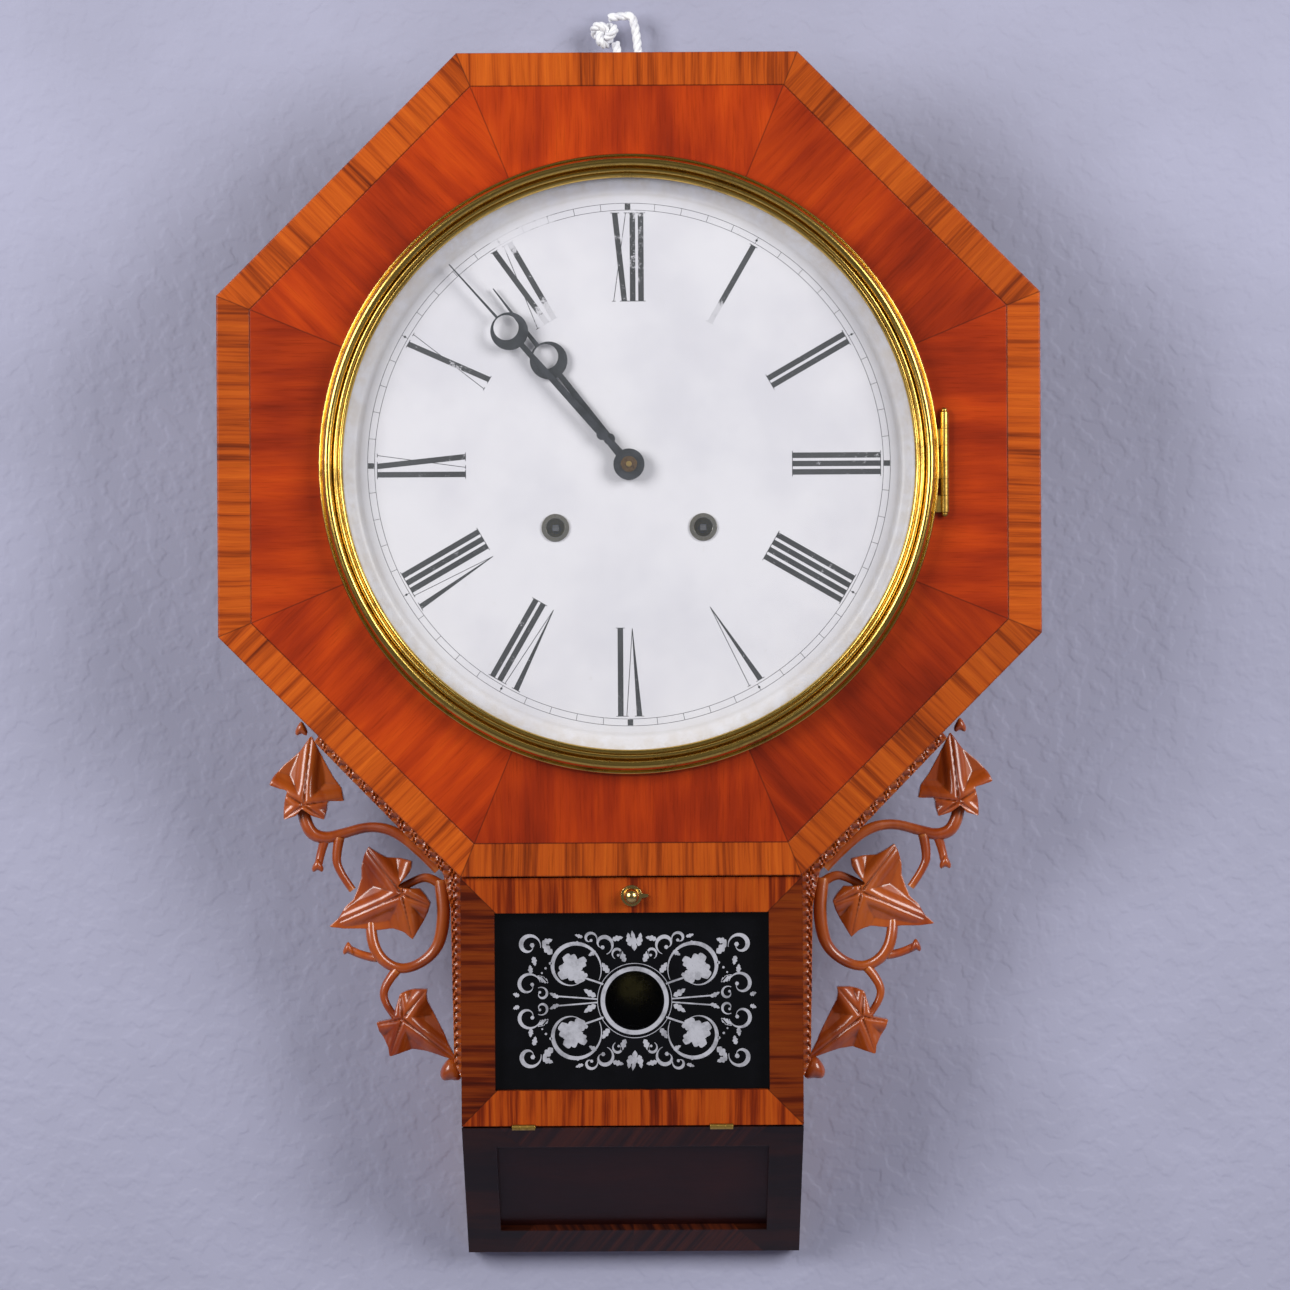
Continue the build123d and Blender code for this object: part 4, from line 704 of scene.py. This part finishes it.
def rope_finish():
    finish = Finish("glossy_white_cord", Roughness=0.45, Sheen_Weight=0.2)
    x, y, z = finish.place()
    fibres = finish.noise(finish.point(x, y, z * 0.3), 2600, 2.0, 0.6)
    cloud = finish.noise(finish.point(x, y, z), 160, 3.0)
    colour = finish.mix(cloud.ramp(0.35, 0.7), srgb("F2F2F4"), srgb("CFCFD6"))
    finish.set(Base_Color=colour, Normal=finish.bump(fibres, 0.0001, 0.6))
    finish.set(Roughness=fibres * 0.2 + 0.35)
    return finish.material


FINISHES["rope"] = rope_finish()

# The hanging rope's route, from the knot round the screw, down round the peg and up again
ROPE_ROUTE = [
    (-10, -12, 254),
    (-3.5, -12, 255),
    (6.35, -12, 255),
    (8.1, -12, 156.9),
    (-8.1, -12, 156.9),
    (-3.6, -12, 226),
    (-6.4, -12, 240),
]
ROPE_THICK = 0.005
ROPE_LAY = 0.013


def route_line(name, route):
    """Places along a smooth line with these control points, in metres."""
    curve = bpy.data.curves.new(name, "CURVE")
    curve.dimensions = "3D"
    curve.resolution_u = 24
    spline = curve.splines.new("NURBS")
    spline.points.add(len(route) - 1)
    for point, place in zip(spline.points, route):
        point.co = (*(v * MM for v in place), 1)
    spline.order_u = 3
    spline.use_endpoint_u = True
    obj = bpy.data.objects.new(name, curve)
    bpy.context.scene.collection.objects.link(obj)
    bpy.context.view_layer.update()
    mesh = bpy.data.meshes.new_from_object(obj)
    places = [vertex.co.copy() for vertex in mesh.vertices]
    bpy.data.meshes.remove(mesh)
    bpy.data.objects.remove(obj)
    return places


def laid_strands(name, line, strands=3):
    """Strands twisted round a line, as one mesh."""
    tangents = []
    for k in range(len(line)):
        step = line[min(k + 1, len(line) - 1)] - line[max(k - 1, 0)]
        tangents.append(step.normalized())
    across = tangents[0].orthogonal().normalized()
    frames = []
    travelled = 0.0
    for k, (place, tangent) in enumerate(zip(line, tangents)):
        if k:
            travelled += (place - line[k - 1]).length
        across = (across - across.dot(tangent) * tangent).normalized()
        frames.append((place, across.copy(), tangent.cross(across), travelled))
    pieces = []
    for strand in range(strands):
        curve = bpy.data.curves.new(name, "CURVE")
        curve.dimensions = "3D"
        curve.bevel_depth = ROPE_THICK * 0.27
        curve.bevel_resolution = 3
        curve.use_fill_caps = True
        spline = curve.splines.new("POLY")
        spline.points.add(len(frames) - 1)
        for point, (place, u, v, along) in zip(spline.points, frames):
            turn = 2 * pi * (along / ROPE_LAY + strand / strands)
            offset = (u * cos(turn) + v * sin(turn)) * ROPE_THICK * 0.23
            point.co = (*(place + offset), 1)
        obj = bpy.data.objects.new(name, curve)
        bpy.context.scene.collection.objects.link(obj)
        bpy.ops.object.select_all(action="DESELECT")
        obj.select_set(True)
        bpy.context.view_layer.objects.active = obj
        bpy.ops.object.convert(target="MESH")
        pieces.append(obj)
    joined = join_pieces(name, pieces)
    joined.data.materials.clear()
    joined.data.materials.append(FINISHES["rope"])
    return tidy_mesh(joined, 60)


def closer_line(line, step=0.0006):
    """The same line with places at an even step."""
    places = [line[0]]
    for a, b in zip(line, line[1:]):
        count = max(1, round((b - a).length / step))
        places += [a.lerp(b, (k + 1) / count) for k in range(count)]
    return places


def hanging_rope():
    """The twisted rope that the clock hangs by, with its knot beside the screw."""
    line = closer_line(route_line("rope_route", ROPE_ROUTE))
    rope = laid_strands("twisted_hanging_rope", line)
    low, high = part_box("rope_knot")
    centre = (low + high) / 2
    knot_places = []
    for k in range(241):
        t = 2 * pi * k / 240
        x = sin(t) + 2 * sin(2 * t)
        z = cos(t) - 2 * cos(2 * t)
        knot_places.append(centre + Vector((x * 0.00205, -sin(3 * t) * 0.003, z * 0.00205)))
    knot = laid_strands("tied_rope_knot", knot_places)
    for piece, node in ((rope, "hanging_rope"), (knot, "rope_knot")):
        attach(piece, "case")
        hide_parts(node)


hanging_rope()



def varnished_carving():
    finish = Finish("varnished_ivy_carving", Coat_Weight=0.6, Coat_Roughness=0.1)
    x, y, z = finish.place()
    streaks, _, patches = spread_grain(finish, z, x + y * 0.6, 4.0, 130, 0.008)
    crease_shade_and_ridge_highlight = finish.node("ShaderNodeNewGeometry", {}, {}, out=7)
    tone = streaks * 0.5 + patches * 0.5
    colour = finish.colours(tone, (0.3, "772704"), (0.46, "983F0A"), (0.6, "AB5115"))
    # Painted shade in the carving's hollows and a painted highlight on its ridges, both read from the
    # mesh's pointiness.
    colour = finish.mix((1 - crease_shade_and_ridge_highlight.ramp(0.44, 0.5)) * 0.75, colour, srgb("5A240A"))
    colour = finish.mix(crease_shade_and_ridge_highlight.ramp(0.53, 0.6) * 0.4, colour, srgb("C47730"))
    chips = finish.noise(finish.point(x, y, z), 300, 3.0, 0.6)
    finish.set(Base_Color=colour, Roughness=chips * 0.16 + 0.26)
    finish.set(Normal=finish.bump(chips * 0.6 + streaks, 0.00012, 0.5))
    return finish.material


FINISHES["carving"] = varnished_carving()

# Where the carving starts: the corner of the box and the octagon's slope, in millimetres
CORNER_X = 92.5
CORNER_Z = 92.5 - 222.5 * sqrt(2)
LEAF_BACK = 62.0
LEAF_FRONT = 74.0

# Each leaf: its outline, the foot of its veins, and the tip of each vein, the midrib first
LEAVES = [
    (
        [(82.5, 76), (89, 67), (97.5, 60), (103, 54), (105.5, 49), (100, 47), (95.5, 46),
         (97.5, 38), (97.5, 30), (91, 32), (87.5, 36), (82, 32), (75.5, 30), (74, 35),
         (73.5, 40), (64.5, 40), (66, 47), (70.5, 53), (76, 63)],
        (86.5, 38),
        [(82.5, 75), (104, 49), (66, 41), (97, 31), (76, 31)],
    ),
    (
        [(51.5, 15), (47, 12), (41.5, 9), (34, 8.5), (27.5, 7), (28, 3), (29.5, 0),
         (35.5, -7), (29, -8), (23.5, -8), (20, -12), (17.5, -16), (19, -21), (21.5, -26),
         (27.5, -36), (32, -32), (38.5, -30), (47, -31), (55.5, -30), (65, -30), (73.5, -29),
         (68, -24), (64.5, -18), (60, -14), (57.5, -8), (55.5, -2), (55.5, 4), (54, 10)],
        (33, -11),
        [(72, -28), (51.5, 13), (28, 5), (19, -17), (28, -34)],
    ),
    (
        [(37.5, -79), (37.5, -75), (36.5, -72), (34.5, -65.5), (31, -64), (26.5, -63),
         (19.5, -63), (20, -66), (19.5, -70), (16, -77), (13, -83), (10.5, -88), (8.5, -93),
         (3.5, -103), (9, -101), (14.5, -99), (21, -97), (28, -96), (34, -98), (40.5, -100),
         (41, -95), (43.5, -90), (46, -86), (47.5, -81)],
        (33, -79),
        [(4.5, -102), (21, -64.5), (34, -67), (46, -82), (40, -99)],
    ),
]

# Each stem: its radius at the start and the end, and its route
STEMS = [
    (3.4, 2.8, [(87.5, 36), (85.5, 24), (76.5, 19), (65.5, 22), (51.5, 26), (38.5, 24),
                (25.5, 15), (13.5, 2)]),
    (2.9, 2.0, [(67.5, 20), (69.5, 11), (68.5, 2), (60.5, -9)]),
    (2.8, 2.2, [(75.5, 19), (78.5, 10), (79.5, 3)]),
    (2.8, 2.2, [(11.5, -7), (17.5, -2), (25.5, -3), (35.5, -9)]),
    (3.5, 2.8, [(12.5, -4), (10.5, -16), (11, -30), (14.5, -42), (24.5, -50.5),
                (35.5, -53), (45.5, -47), (50.5, -36), (50.5, -27)]),
    (2.7, 2.2, [(47.5, -46), (54.5, -46), (63.5, -41)]),
    (2.8, 1.8, [(36.5, -53), (43.5, -61), (44, -71), (36.5, -80)]),
]


def away_from(x, z, a, b):
    """Distance from (x, z) to the stretch a-b, and how far along it is, from 0 to 1."""
    line = Vector(b) - Vector(a)
    point = Vector((x, z)) - Vector(a)
    share = max(0.0, min(1.0, point.dot(line) / line.length_squared))
    return (point - line * share).length, share


def carve_leaf(outline, foot, tips):
    """A leaf cut from a slab: a raised midrib, cut veins between bulging lobes, and drooping tips."""
    placed = [((CORNER_X + x) * MM, (CORNER_Z + z) * MM) for x, z in outline]
    thick = (LEAF_FRONT - LEAF_BACK) * MM
    leaf = flat_shape("ivy_leaf", [placed], LEAF_BACK * MM, thick, "carving")
    remesh = leaf.modifiers.new("even", "REMESH")
    remesh.mode = "VOXEL"
    remesh.voxel_size = 0.0006
    smooth = leaf.modifiers.new("soft", "SMOOTH")
    smooth.iterations = 2
    bpy.context.view_layer.objects.active = leaf
    for modifier in ("even", "soft"):
        bpy.ops.object.modifier_apply(modifier=modifier)
    back = -LEAF_BACK * MM
    for vertex in leaf.data.vertices:
        x = vertex.co.x / MM - CORNER_X
        z = vertex.co.z / MM - CORNER_Z
        from_foot = (Vector((x, z)) - Vector(foot)).length
        ribs = [away_from(x, z, foot, tip) for tip in tips]
        vein, share = min(ribs)
        droop = 0.011 * from_foot * from_foot / 2.6 + 0.5 * vein * min(1.0, from_foot / 12)
        bulge = 1.1 * sin(min(vein, 6.0) / 6.0 * pi)
        cut = 0.9 * max(0.0, 1 - vein / 0.9) * (1 - 0.5 * share)
        sink = min(7.5, droop + cut - bulge + 1.3) * MM
        front = (back - vertex.co.y) / thick
        vertex.co.y += sink * front
    return leaf


def stem_tube(first, last, route):
    """A round stem through a route, thicker at its start."""
    curve = bpy.data.curves.new("ivy_stem", "CURVE")
    curve.dimensions = "3D"
    curve.bevel_depth = MM
    curve.bevel_resolution = 5
    curve.resolution_u = 10
    curve.use_fill_caps = True
    spline = curve.splines.new("NURBS")
    spline.points.add(len(route) - 1)
    for k, (point, (x, z)) in enumerate(zip(spline.points, route)):
        share = k / (len(route) - 1)
        depth = 64.0 + 1.5 * sin(3 * share * pi)
        point.co = ((CORNER_X + x) * MM, -depth * MM, (CORNER_Z + z) * MM, 1)
        point.radius = first + (last - first) * share + 0.35 * sin(9 * share)
    spline.order_u = 3
    spline.use_endpoint_u = True
    obj = bpy.data.objects.new("ivy_stem", curve)
    bpy.context.scene.collection.objects.link(obj)
    bpy.ops.object.select_all(action="DESELECT")
    obj.select_set(True)
    bpy.context.view_layer.objects.active = obj
    bpy.ops.object.convert(target="MESH")
    return obj


def bud(x, z, radius, depth=65.0):
    """A rounded bud with a cleft."""
    place = ((CORNER_X + x) * MM, -depth * MM, (CORNER_Z + z) * MM)
    bpy.ops.mesh.primitive_uv_sphere_add(
        segments=24, ring_count=14, radius=radius * MM, location=place
    )
    obj = bpy.context.object
    bpy.ops.object.transform_apply(location=True, rotation=True, scale=True)
    for vertex in obj.data.vertices:
        dx = vertex.co.x - place[0]
        vertex.co.z += 0.0012 * cos(dx / (radius * MM) * pi)
    return obj


def bark_strip():
    """The strip along the case, rough like bark."""
    outline = [(0.3, -1), (77.5, 76.7), (80.5, 72.5), (10.5, 0.5), (6.5, -18), (5, -103), (0.3, -113)]
    placed = [((CORNER_X + x) * MM, (CORNER_Z + z) * MM) for x, z in outline]
    strip = flat_shape("bark_strip", [placed], 0.054, 0.020, "carving")
    remesh = strip.modifiers.new("even", "REMESH")
    remesh.mode = "VOXEL"
    remesh.voxel_size = 0.0009
    bpy.context.view_layer.objects.active = strip
    bpy.ops.object.modifier_apply(modifier="even")
    for vertex in strip.data.vertices:
        x, y, z = vertex.co / MM
        along = (x - CORNER_X) * 0.7 + (z - CORNER_Z) * 0.7
        groove = sin(along * 1.9 + 2.2 * sin(x * 0.9) + 1.3 * sin(y * 0.8))
        if y < -60:
            vertex.co.y += (0.9 + 0.8 * groove) * MM
    return strip


def ivy_carvings():
    """The right-hand carving, and its mirror image on the left."""
    pieces = [carve_leaf(*leaf) for leaf in LEAVES]
    pieces += [stem_tube(*stem) for stem in STEMS]
    pieces.append(bark_strip())
    pieces += [bud(7.0, -108.5, 6.0), bud(79.5, 4.0, 3.2), bud(63.0, -41.5, 3.0), bud(88.0, 79.0, 3.4)]
    right = join_pieces("right_ivy_leaves_and_stems", pieces)
    right.data.materials.clear()
    right.data.materials.append(FINISHES["carving"])
    for face in right.data.polygons:
        face.material_index = 0
    bpy.ops.object.shade_smooth_by_angle(angle=radians(50))
    left = right.copy()
    left.data = right.data.copy()
    left.name = "left_ivy_leaves_and_stems"
    bpy.context.scene.collection.objects.link(left)
    left.data.transform(Matrix.Scale(-1, 4, (1, 0, 0)))
    left.data.flip_normals()
    for piece, node in ((right, "right_ivy_carving"), (left, "left_ivy_carving")):
        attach(piece, "case")
        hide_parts(node)


ivy_carvings()



def ribbon(line, widths):
    """The outline of a band along a line, with its width at each place."""
    left = []
    right = []
    for k, (x, z) in enumerate(line):
        before = line[max(k - 1, 0)]
        after = line[min(k + 1, len(line) - 1)]
        along = (Vector(after) - Vector(before)).normalized()
        half = widths(k / (len(line) - 1)) / 2
        left.append((x - along.y * half, z + along.x * half))
        right.append((x + along.y * half, z - along.x * half))
    return left + right[::-1]


def scroll(cx, cz, start_r, end_r, start, end, widest):
    """A scroll that winds in to a round eye, its band fullest past the middle."""
    count = 44
    line = []
    for k in range(count + 1):
        share = k / count
        turn = radians(start + (end - start) * share)
        r = start_r + (end_r - start_r) * share**1.3
        line.append((cx + r * cos(turn), cz + r * sin(turn)))
    band = ribbon(line, lambda share: 0.35 + (widest - 0.35) * sin(pi * min(1.0, share * 1.15)) ** 1.5)
    eye_x, eye_z = line[-1]
    eye = [(eye_x + 0.55 * widest * cos(k), eye_z + 0.55 * widest * sin(k)) for k in range(6)]
    return [band, eye]


def acanthus(x, z, length, width, angle, lobes=3):
    """A pointed leaf with rounded lobes on both sides."""
    turn = radians(angle)
    count = 12 * lobes
    edge = []
    for k in range(count + 1):
        share = k / count
        full = sin(pi * share**0.8) ** 0.8 if 0 < share < 1 else 0.0
        notch = 0.62 + 0.38 * abs(sin(pi * lobes * share))
        edge.append((share * length, full * notch * width / 2))
    outline = edge + [(along, -off) for along, off in edge[-2:0:-1]]
    placed = []
    for along, off in outline:
        bend = 0.12 * along * along / length
        u = along
        v = off + bend
        placed.append((x + u * cos(turn) - v * sin(turn), z + u * sin(turn) + v * cos(turn)))
    return placed


def berry(x, z, r):
    return [(x + r * cos(2 * pi * k / 14), z + r * sin(2 * pi * k / 14)) for k in range(14)]


def quarter_ornament():
    """A quarter of the tablet's ornament, in millimetres from the middle of the window."""
    shapes = []
    shapes += scroll(33.0, 17.6, 15.2, 7.4, 205, -150, 2.3)
    shapes += scroll(57.0, 30.0, 6.2, 1.6, 190, -190, 2.4)
    shapes += scroll(57.5, 8.6, 6.6, 2.0, 165, -190, 2.0)
    shapes += scroll(50.5, 4.0, 3.6, 1.2, 60, 400, 1.4)
    shapes += scroll(17.0, 30.5, 5.6, 1.6, 250, -80, 2.1)
    shapes += scroll(9.0, 25.6, 3.2, 1.0, -60, 260, 1.4)
    shapes += scroll(24.0, 33.6, 3.8, 1.0, 200, -120, 1.6)
    for x, z, length, width, angle in (
        (27.0, 11.0, 15.0, 9.6, 32),
        (39.5, 11.5, 13.0, 8.0, 108),
        (39.0, 23.5, 12.0, 7.6, 195),
        (27.5, 24.0, 9.0, 5.6, 285),
        (44.5, 25.5, 8.0, 4.4, 40),
        (50.0, 31.0, 6.0, 3.6, 150),
        (55.0, 24.0, 5.0, 3.0, 250),
        (47.0, 10.5, 6.0, 3.4, 20),
        (62.5, 3.0, 3.6, 2.6, 10),
        (56.0, 15.0, 4.6, 2.8, 75),
        (21.0, 2.4, 7.6, 3.6, 24),
        (13.8, 15.2, 6.6, 3.6, 48),
        (5.0, 21.0, 6.6, 3.4, 62),
        (12.0, 33.0, 6.0, 3.2, 160),
        (2.0, 29.5, 7.4, 3.4, 72),
        (28.0, 34.6, 4.4, 2.2, 10),
        (21.0, 27.0, 4.6, 2.6, -40),
        (41.0, 2.0, 5.6, 2.6, 18),
    ):
        shapes.append(acanthus(x, z, length, width, angle))
    for x, z, r in ((45.6, 20.4, 0.8), (48.2, 17.8, 0.65), (50.2, 15.2, 0.5), (31.0, 31.6, 0.8)):
        shapes.append(berry(x, z, r))
    shapes.append(ribbon([(17.0, 9.0), (21.5, 10.6), (27.0, 12.4)], lambda share: 1.0))
    shapes.append(ribbon([(47.0, 9.8), (50.0, 13.2), (52.6, 13.6)], lambda share: 0.7))
    shapes.append(ribbon([(20.0, 0.9), (29.0, 1.6), (42.0, 2.6)], lambda share: 0.8))
    return shapes


def tablet_ornament():
    """The silver scrollwork round the tablet's window."""
    front = -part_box("tablet_glass")[0].y + 0.00002
    cx, cz = WINDOW_CENTRE
    pieces = []
    for inner, outer in ((16.1, 18.5), (20.0, 20.35)):
        rings = ring_outlines(cx, cz, inner * MM, outer * MM)
        pieces.append(flat_shape("window_ring", rings, front, 0.00004, "silver"))
    for side in (-1, 1):
        for level in (-1, 1):
            for k, outline in enumerate(quarter_ornament()):
                placed = [(cx + side * x * MM, cz + level * z * MM) for x, z in outline]
                thick = 0.00003 + 0.00001 * (k % 4)
                pieces.append(flat_shape("scrollwork", [placed], front, thick, "silver"))
    for side in (-1, 1):
        placed = [(cx + x * MM, cz + side * z * MM) for x, z in acanthus(0, 27.0, 11.0, 3.6, 90)]
        pieces.append(flat_shape("scrollwork", [placed], front, 0.00008, "silver"))
    ornament = join_pieces("silver_scrollwork", pieces)
    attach(ornament, "door")


tablet_ornament()



# The bezel's profile, in millimetres: distance from the axis, then distance from the wall
BEZEL_BEADS = [
    ((167.5, 100.4), (167.5, 101.3), (167.5, 102.1), (167.5, 103.0)),
    ((167.5, 103.0), (167.4, 104.9), (166.2, 105.2), (165.4, 103.8)),
    ((165.4, 103.8), (165.4, 108.6), (164.8, 112.4), (162.2, 112.4)),
    ((162.2, 112.4), (160.2, 112.4), (159.8, 110.2), (159.4, 108.6)),
    ((159.4, 108.6), (159.2, 111.5), (156.8, 111.5), (156.6, 108.6)),
    ((156.6, 108.6), (156.4, 110.0), (154.4, 109.4), (154.0, 107.6)),
    ((154.0, 107.6), (154.0, 107.4), (154.0, 107.2), (154.0, 107.0)),
]
BEZEL_BACK = [
    (157.5, 107.0),
    (157.5, 100.4),
    (159.2, 100.4),
    (159.2, 106.2),
    (160.9, 108.4),
    (163.4, 108.4),
    (165.4, 102.4),
    (166.2, 101.8),
    (166.2, 100.4),
]


def spun_bezel():
    """The brass bezel: a beaded profile spun round the dial's axis."""
    profile = []
    for start, lift, settle, end in BEZEL_BEADS:
        curve = interpolate_bezier(Vector(start), Vector(lift), Vector(settle), Vector(end), 12)
        profile += [tuple(place) for place in curve[:-1]]
    profile.append(BEZEL_BEADS[-1][-1])
    profile += BEZEL_BACK
    bpy.ops.mesh.primitive_circle_add(vertices=len(profile), radius=0.01)
    bezel = bpy.context.object
    bezel.name = "spun_brass_bezel"
    for vertex, (r, out) in zip(bezel.data.vertices, profile):
        vertex.co = (r * MM, -out * MM, 0)
    bpy.ops.object.mode_set(mode="EDIT")
    bpy.ops.mesh.select_all(action="SELECT")
    bpy.ops.mesh.spin(steps=256, angle=2 * pi, center=(0, 0, 0), axis=(0, 1, 0))
    bpy.ops.object.mode_set(mode="OBJECT")
    tidy_mesh(bezel, 40)
    paint(bezel, "bezel")
    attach(bezel, "bezel")
    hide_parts("bezel")


spun_bezel()


def wall_and_floor():
    """A textured pale wall behind the clock and a floor far below it."""
    bpy.ops.mesh.primitive_plane_add(size=6, location=(0, 0.0006, -0.1), rotation=(pi / 2, 0, 0))
    wall = bpy.context.object
    wall.name = "papered_wall"
    bpy.ops.mesh.primitive_plane_add(size=6, location=(0, -3.0, -1.4))
    floor = bpy.context.object
    floor.name = "pale_floor"
    for stage in (wall, floor):
        stage.data.materials.append(wall_paper())


def wall_paper():
    """Pale lilac-grey embossed paper. Seen from behind it lets everything through."""
    finish = Finish("pale_embossed_wallpaper", Roughness=0.75)
    x, y, z = finish.place()
    where = finish.point(x, y, z)
    broad = finish.noise(where, 6, 3.0)
    blisters = finish.noise(finish.point(x, y, z * 1.6), 95, 2.0, 0.45)
    fine = finish.noise(where, 420, 2.0, 0.6)
    colour = finish.mix(broad.ramp(0.3, 0.7), srgb("9A9AAE"), srgb("A3A3B8"))
    relief = finish.bump(blisters.ramp(0.42, 0.62) * 0.8 + fine * 0.12, 0.0007, 0.5)
    finish.set(Base_Color=colour, Normal=relief)
    clear = finish.tree.nodes.new("ShaderNodeBsdfTransparent")
    behind = finish.node("ShaderNodeNewGeometry", {}, {}, out=6)
    joined = finish.tree.nodes.new("ShaderNodeMixShader")
    finish.feed(joined.inputs[0], behind)
    finish.tree.links.new(finish.shader.outputs[0], joined.inputs[1])
    finish.tree.links.new(clear.outputs[0], joined.inputs[2])
    surface = finish.tree.nodes["Material Output"].inputs["Surface"]
    finish.tree.links.new(joined.outputs[0], surface)
    return finish.material


def softbox(name, place, aim, width, height, watts):
    data = bpy.data.lights.new(name, "AREA")
    data.shape = "RECTANGLE"
    data.size = width
    data.size_y = height
    data.energy = watts
    lamp = bpy.data.objects.new(name, data)
    lamp.location = place
    lamp.rotation_euler = (Vector(aim) - Vector(place)).to_track_quat("-Z", "Y").to_euler()
    bpy.context.scene.collection.objects.link(lamp)


def photograph_camera():
    """The photograph's view: level, a little below the dial's middle, turned a hair."""
    data = bpy.data.cameras.new("photograph_camera")
    data.sensor_fit = "HORIZONTAL"
    data.angle = radians(17.22)
    camera = bpy.data.objects.new("photograph_camera", data)
    camera.location = (0.0081, -2.4, -0.0977)
    camera.rotation_euler = (pi / 2, radians(CAMERA_ROLL), 0)
    bpy.context.scene.collection.objects.link(camera)
    bpy.context.scene.camera = camera


def studio():
    wall_and_floor()
    photograph_camera()
    softbox("left_softbox", (-1.5, -1.5, 0.55), (0, 0, 0.05), 1.0, 1.2, 42)
    softbox("right_softbox", (1.5, -1.5, 0.55), (0, 0, 0.05), 1.0, 1.2, 39)
    world = bpy.data.worlds.new("even_studio")
    world.use_nodes = True
    world.node_tree.nodes["Background"].inputs["Color"].default_value = (0.8, 0.82, 0.9, 1)
    world.node_tree.nodes["Background"].inputs["Strength"].default_value = 0.13
    bpy.context.scene.world = world
    bpy.context.scene.view_settings.view_transform = "Standard"


CAMERA_ROLL = 0.33
studio()
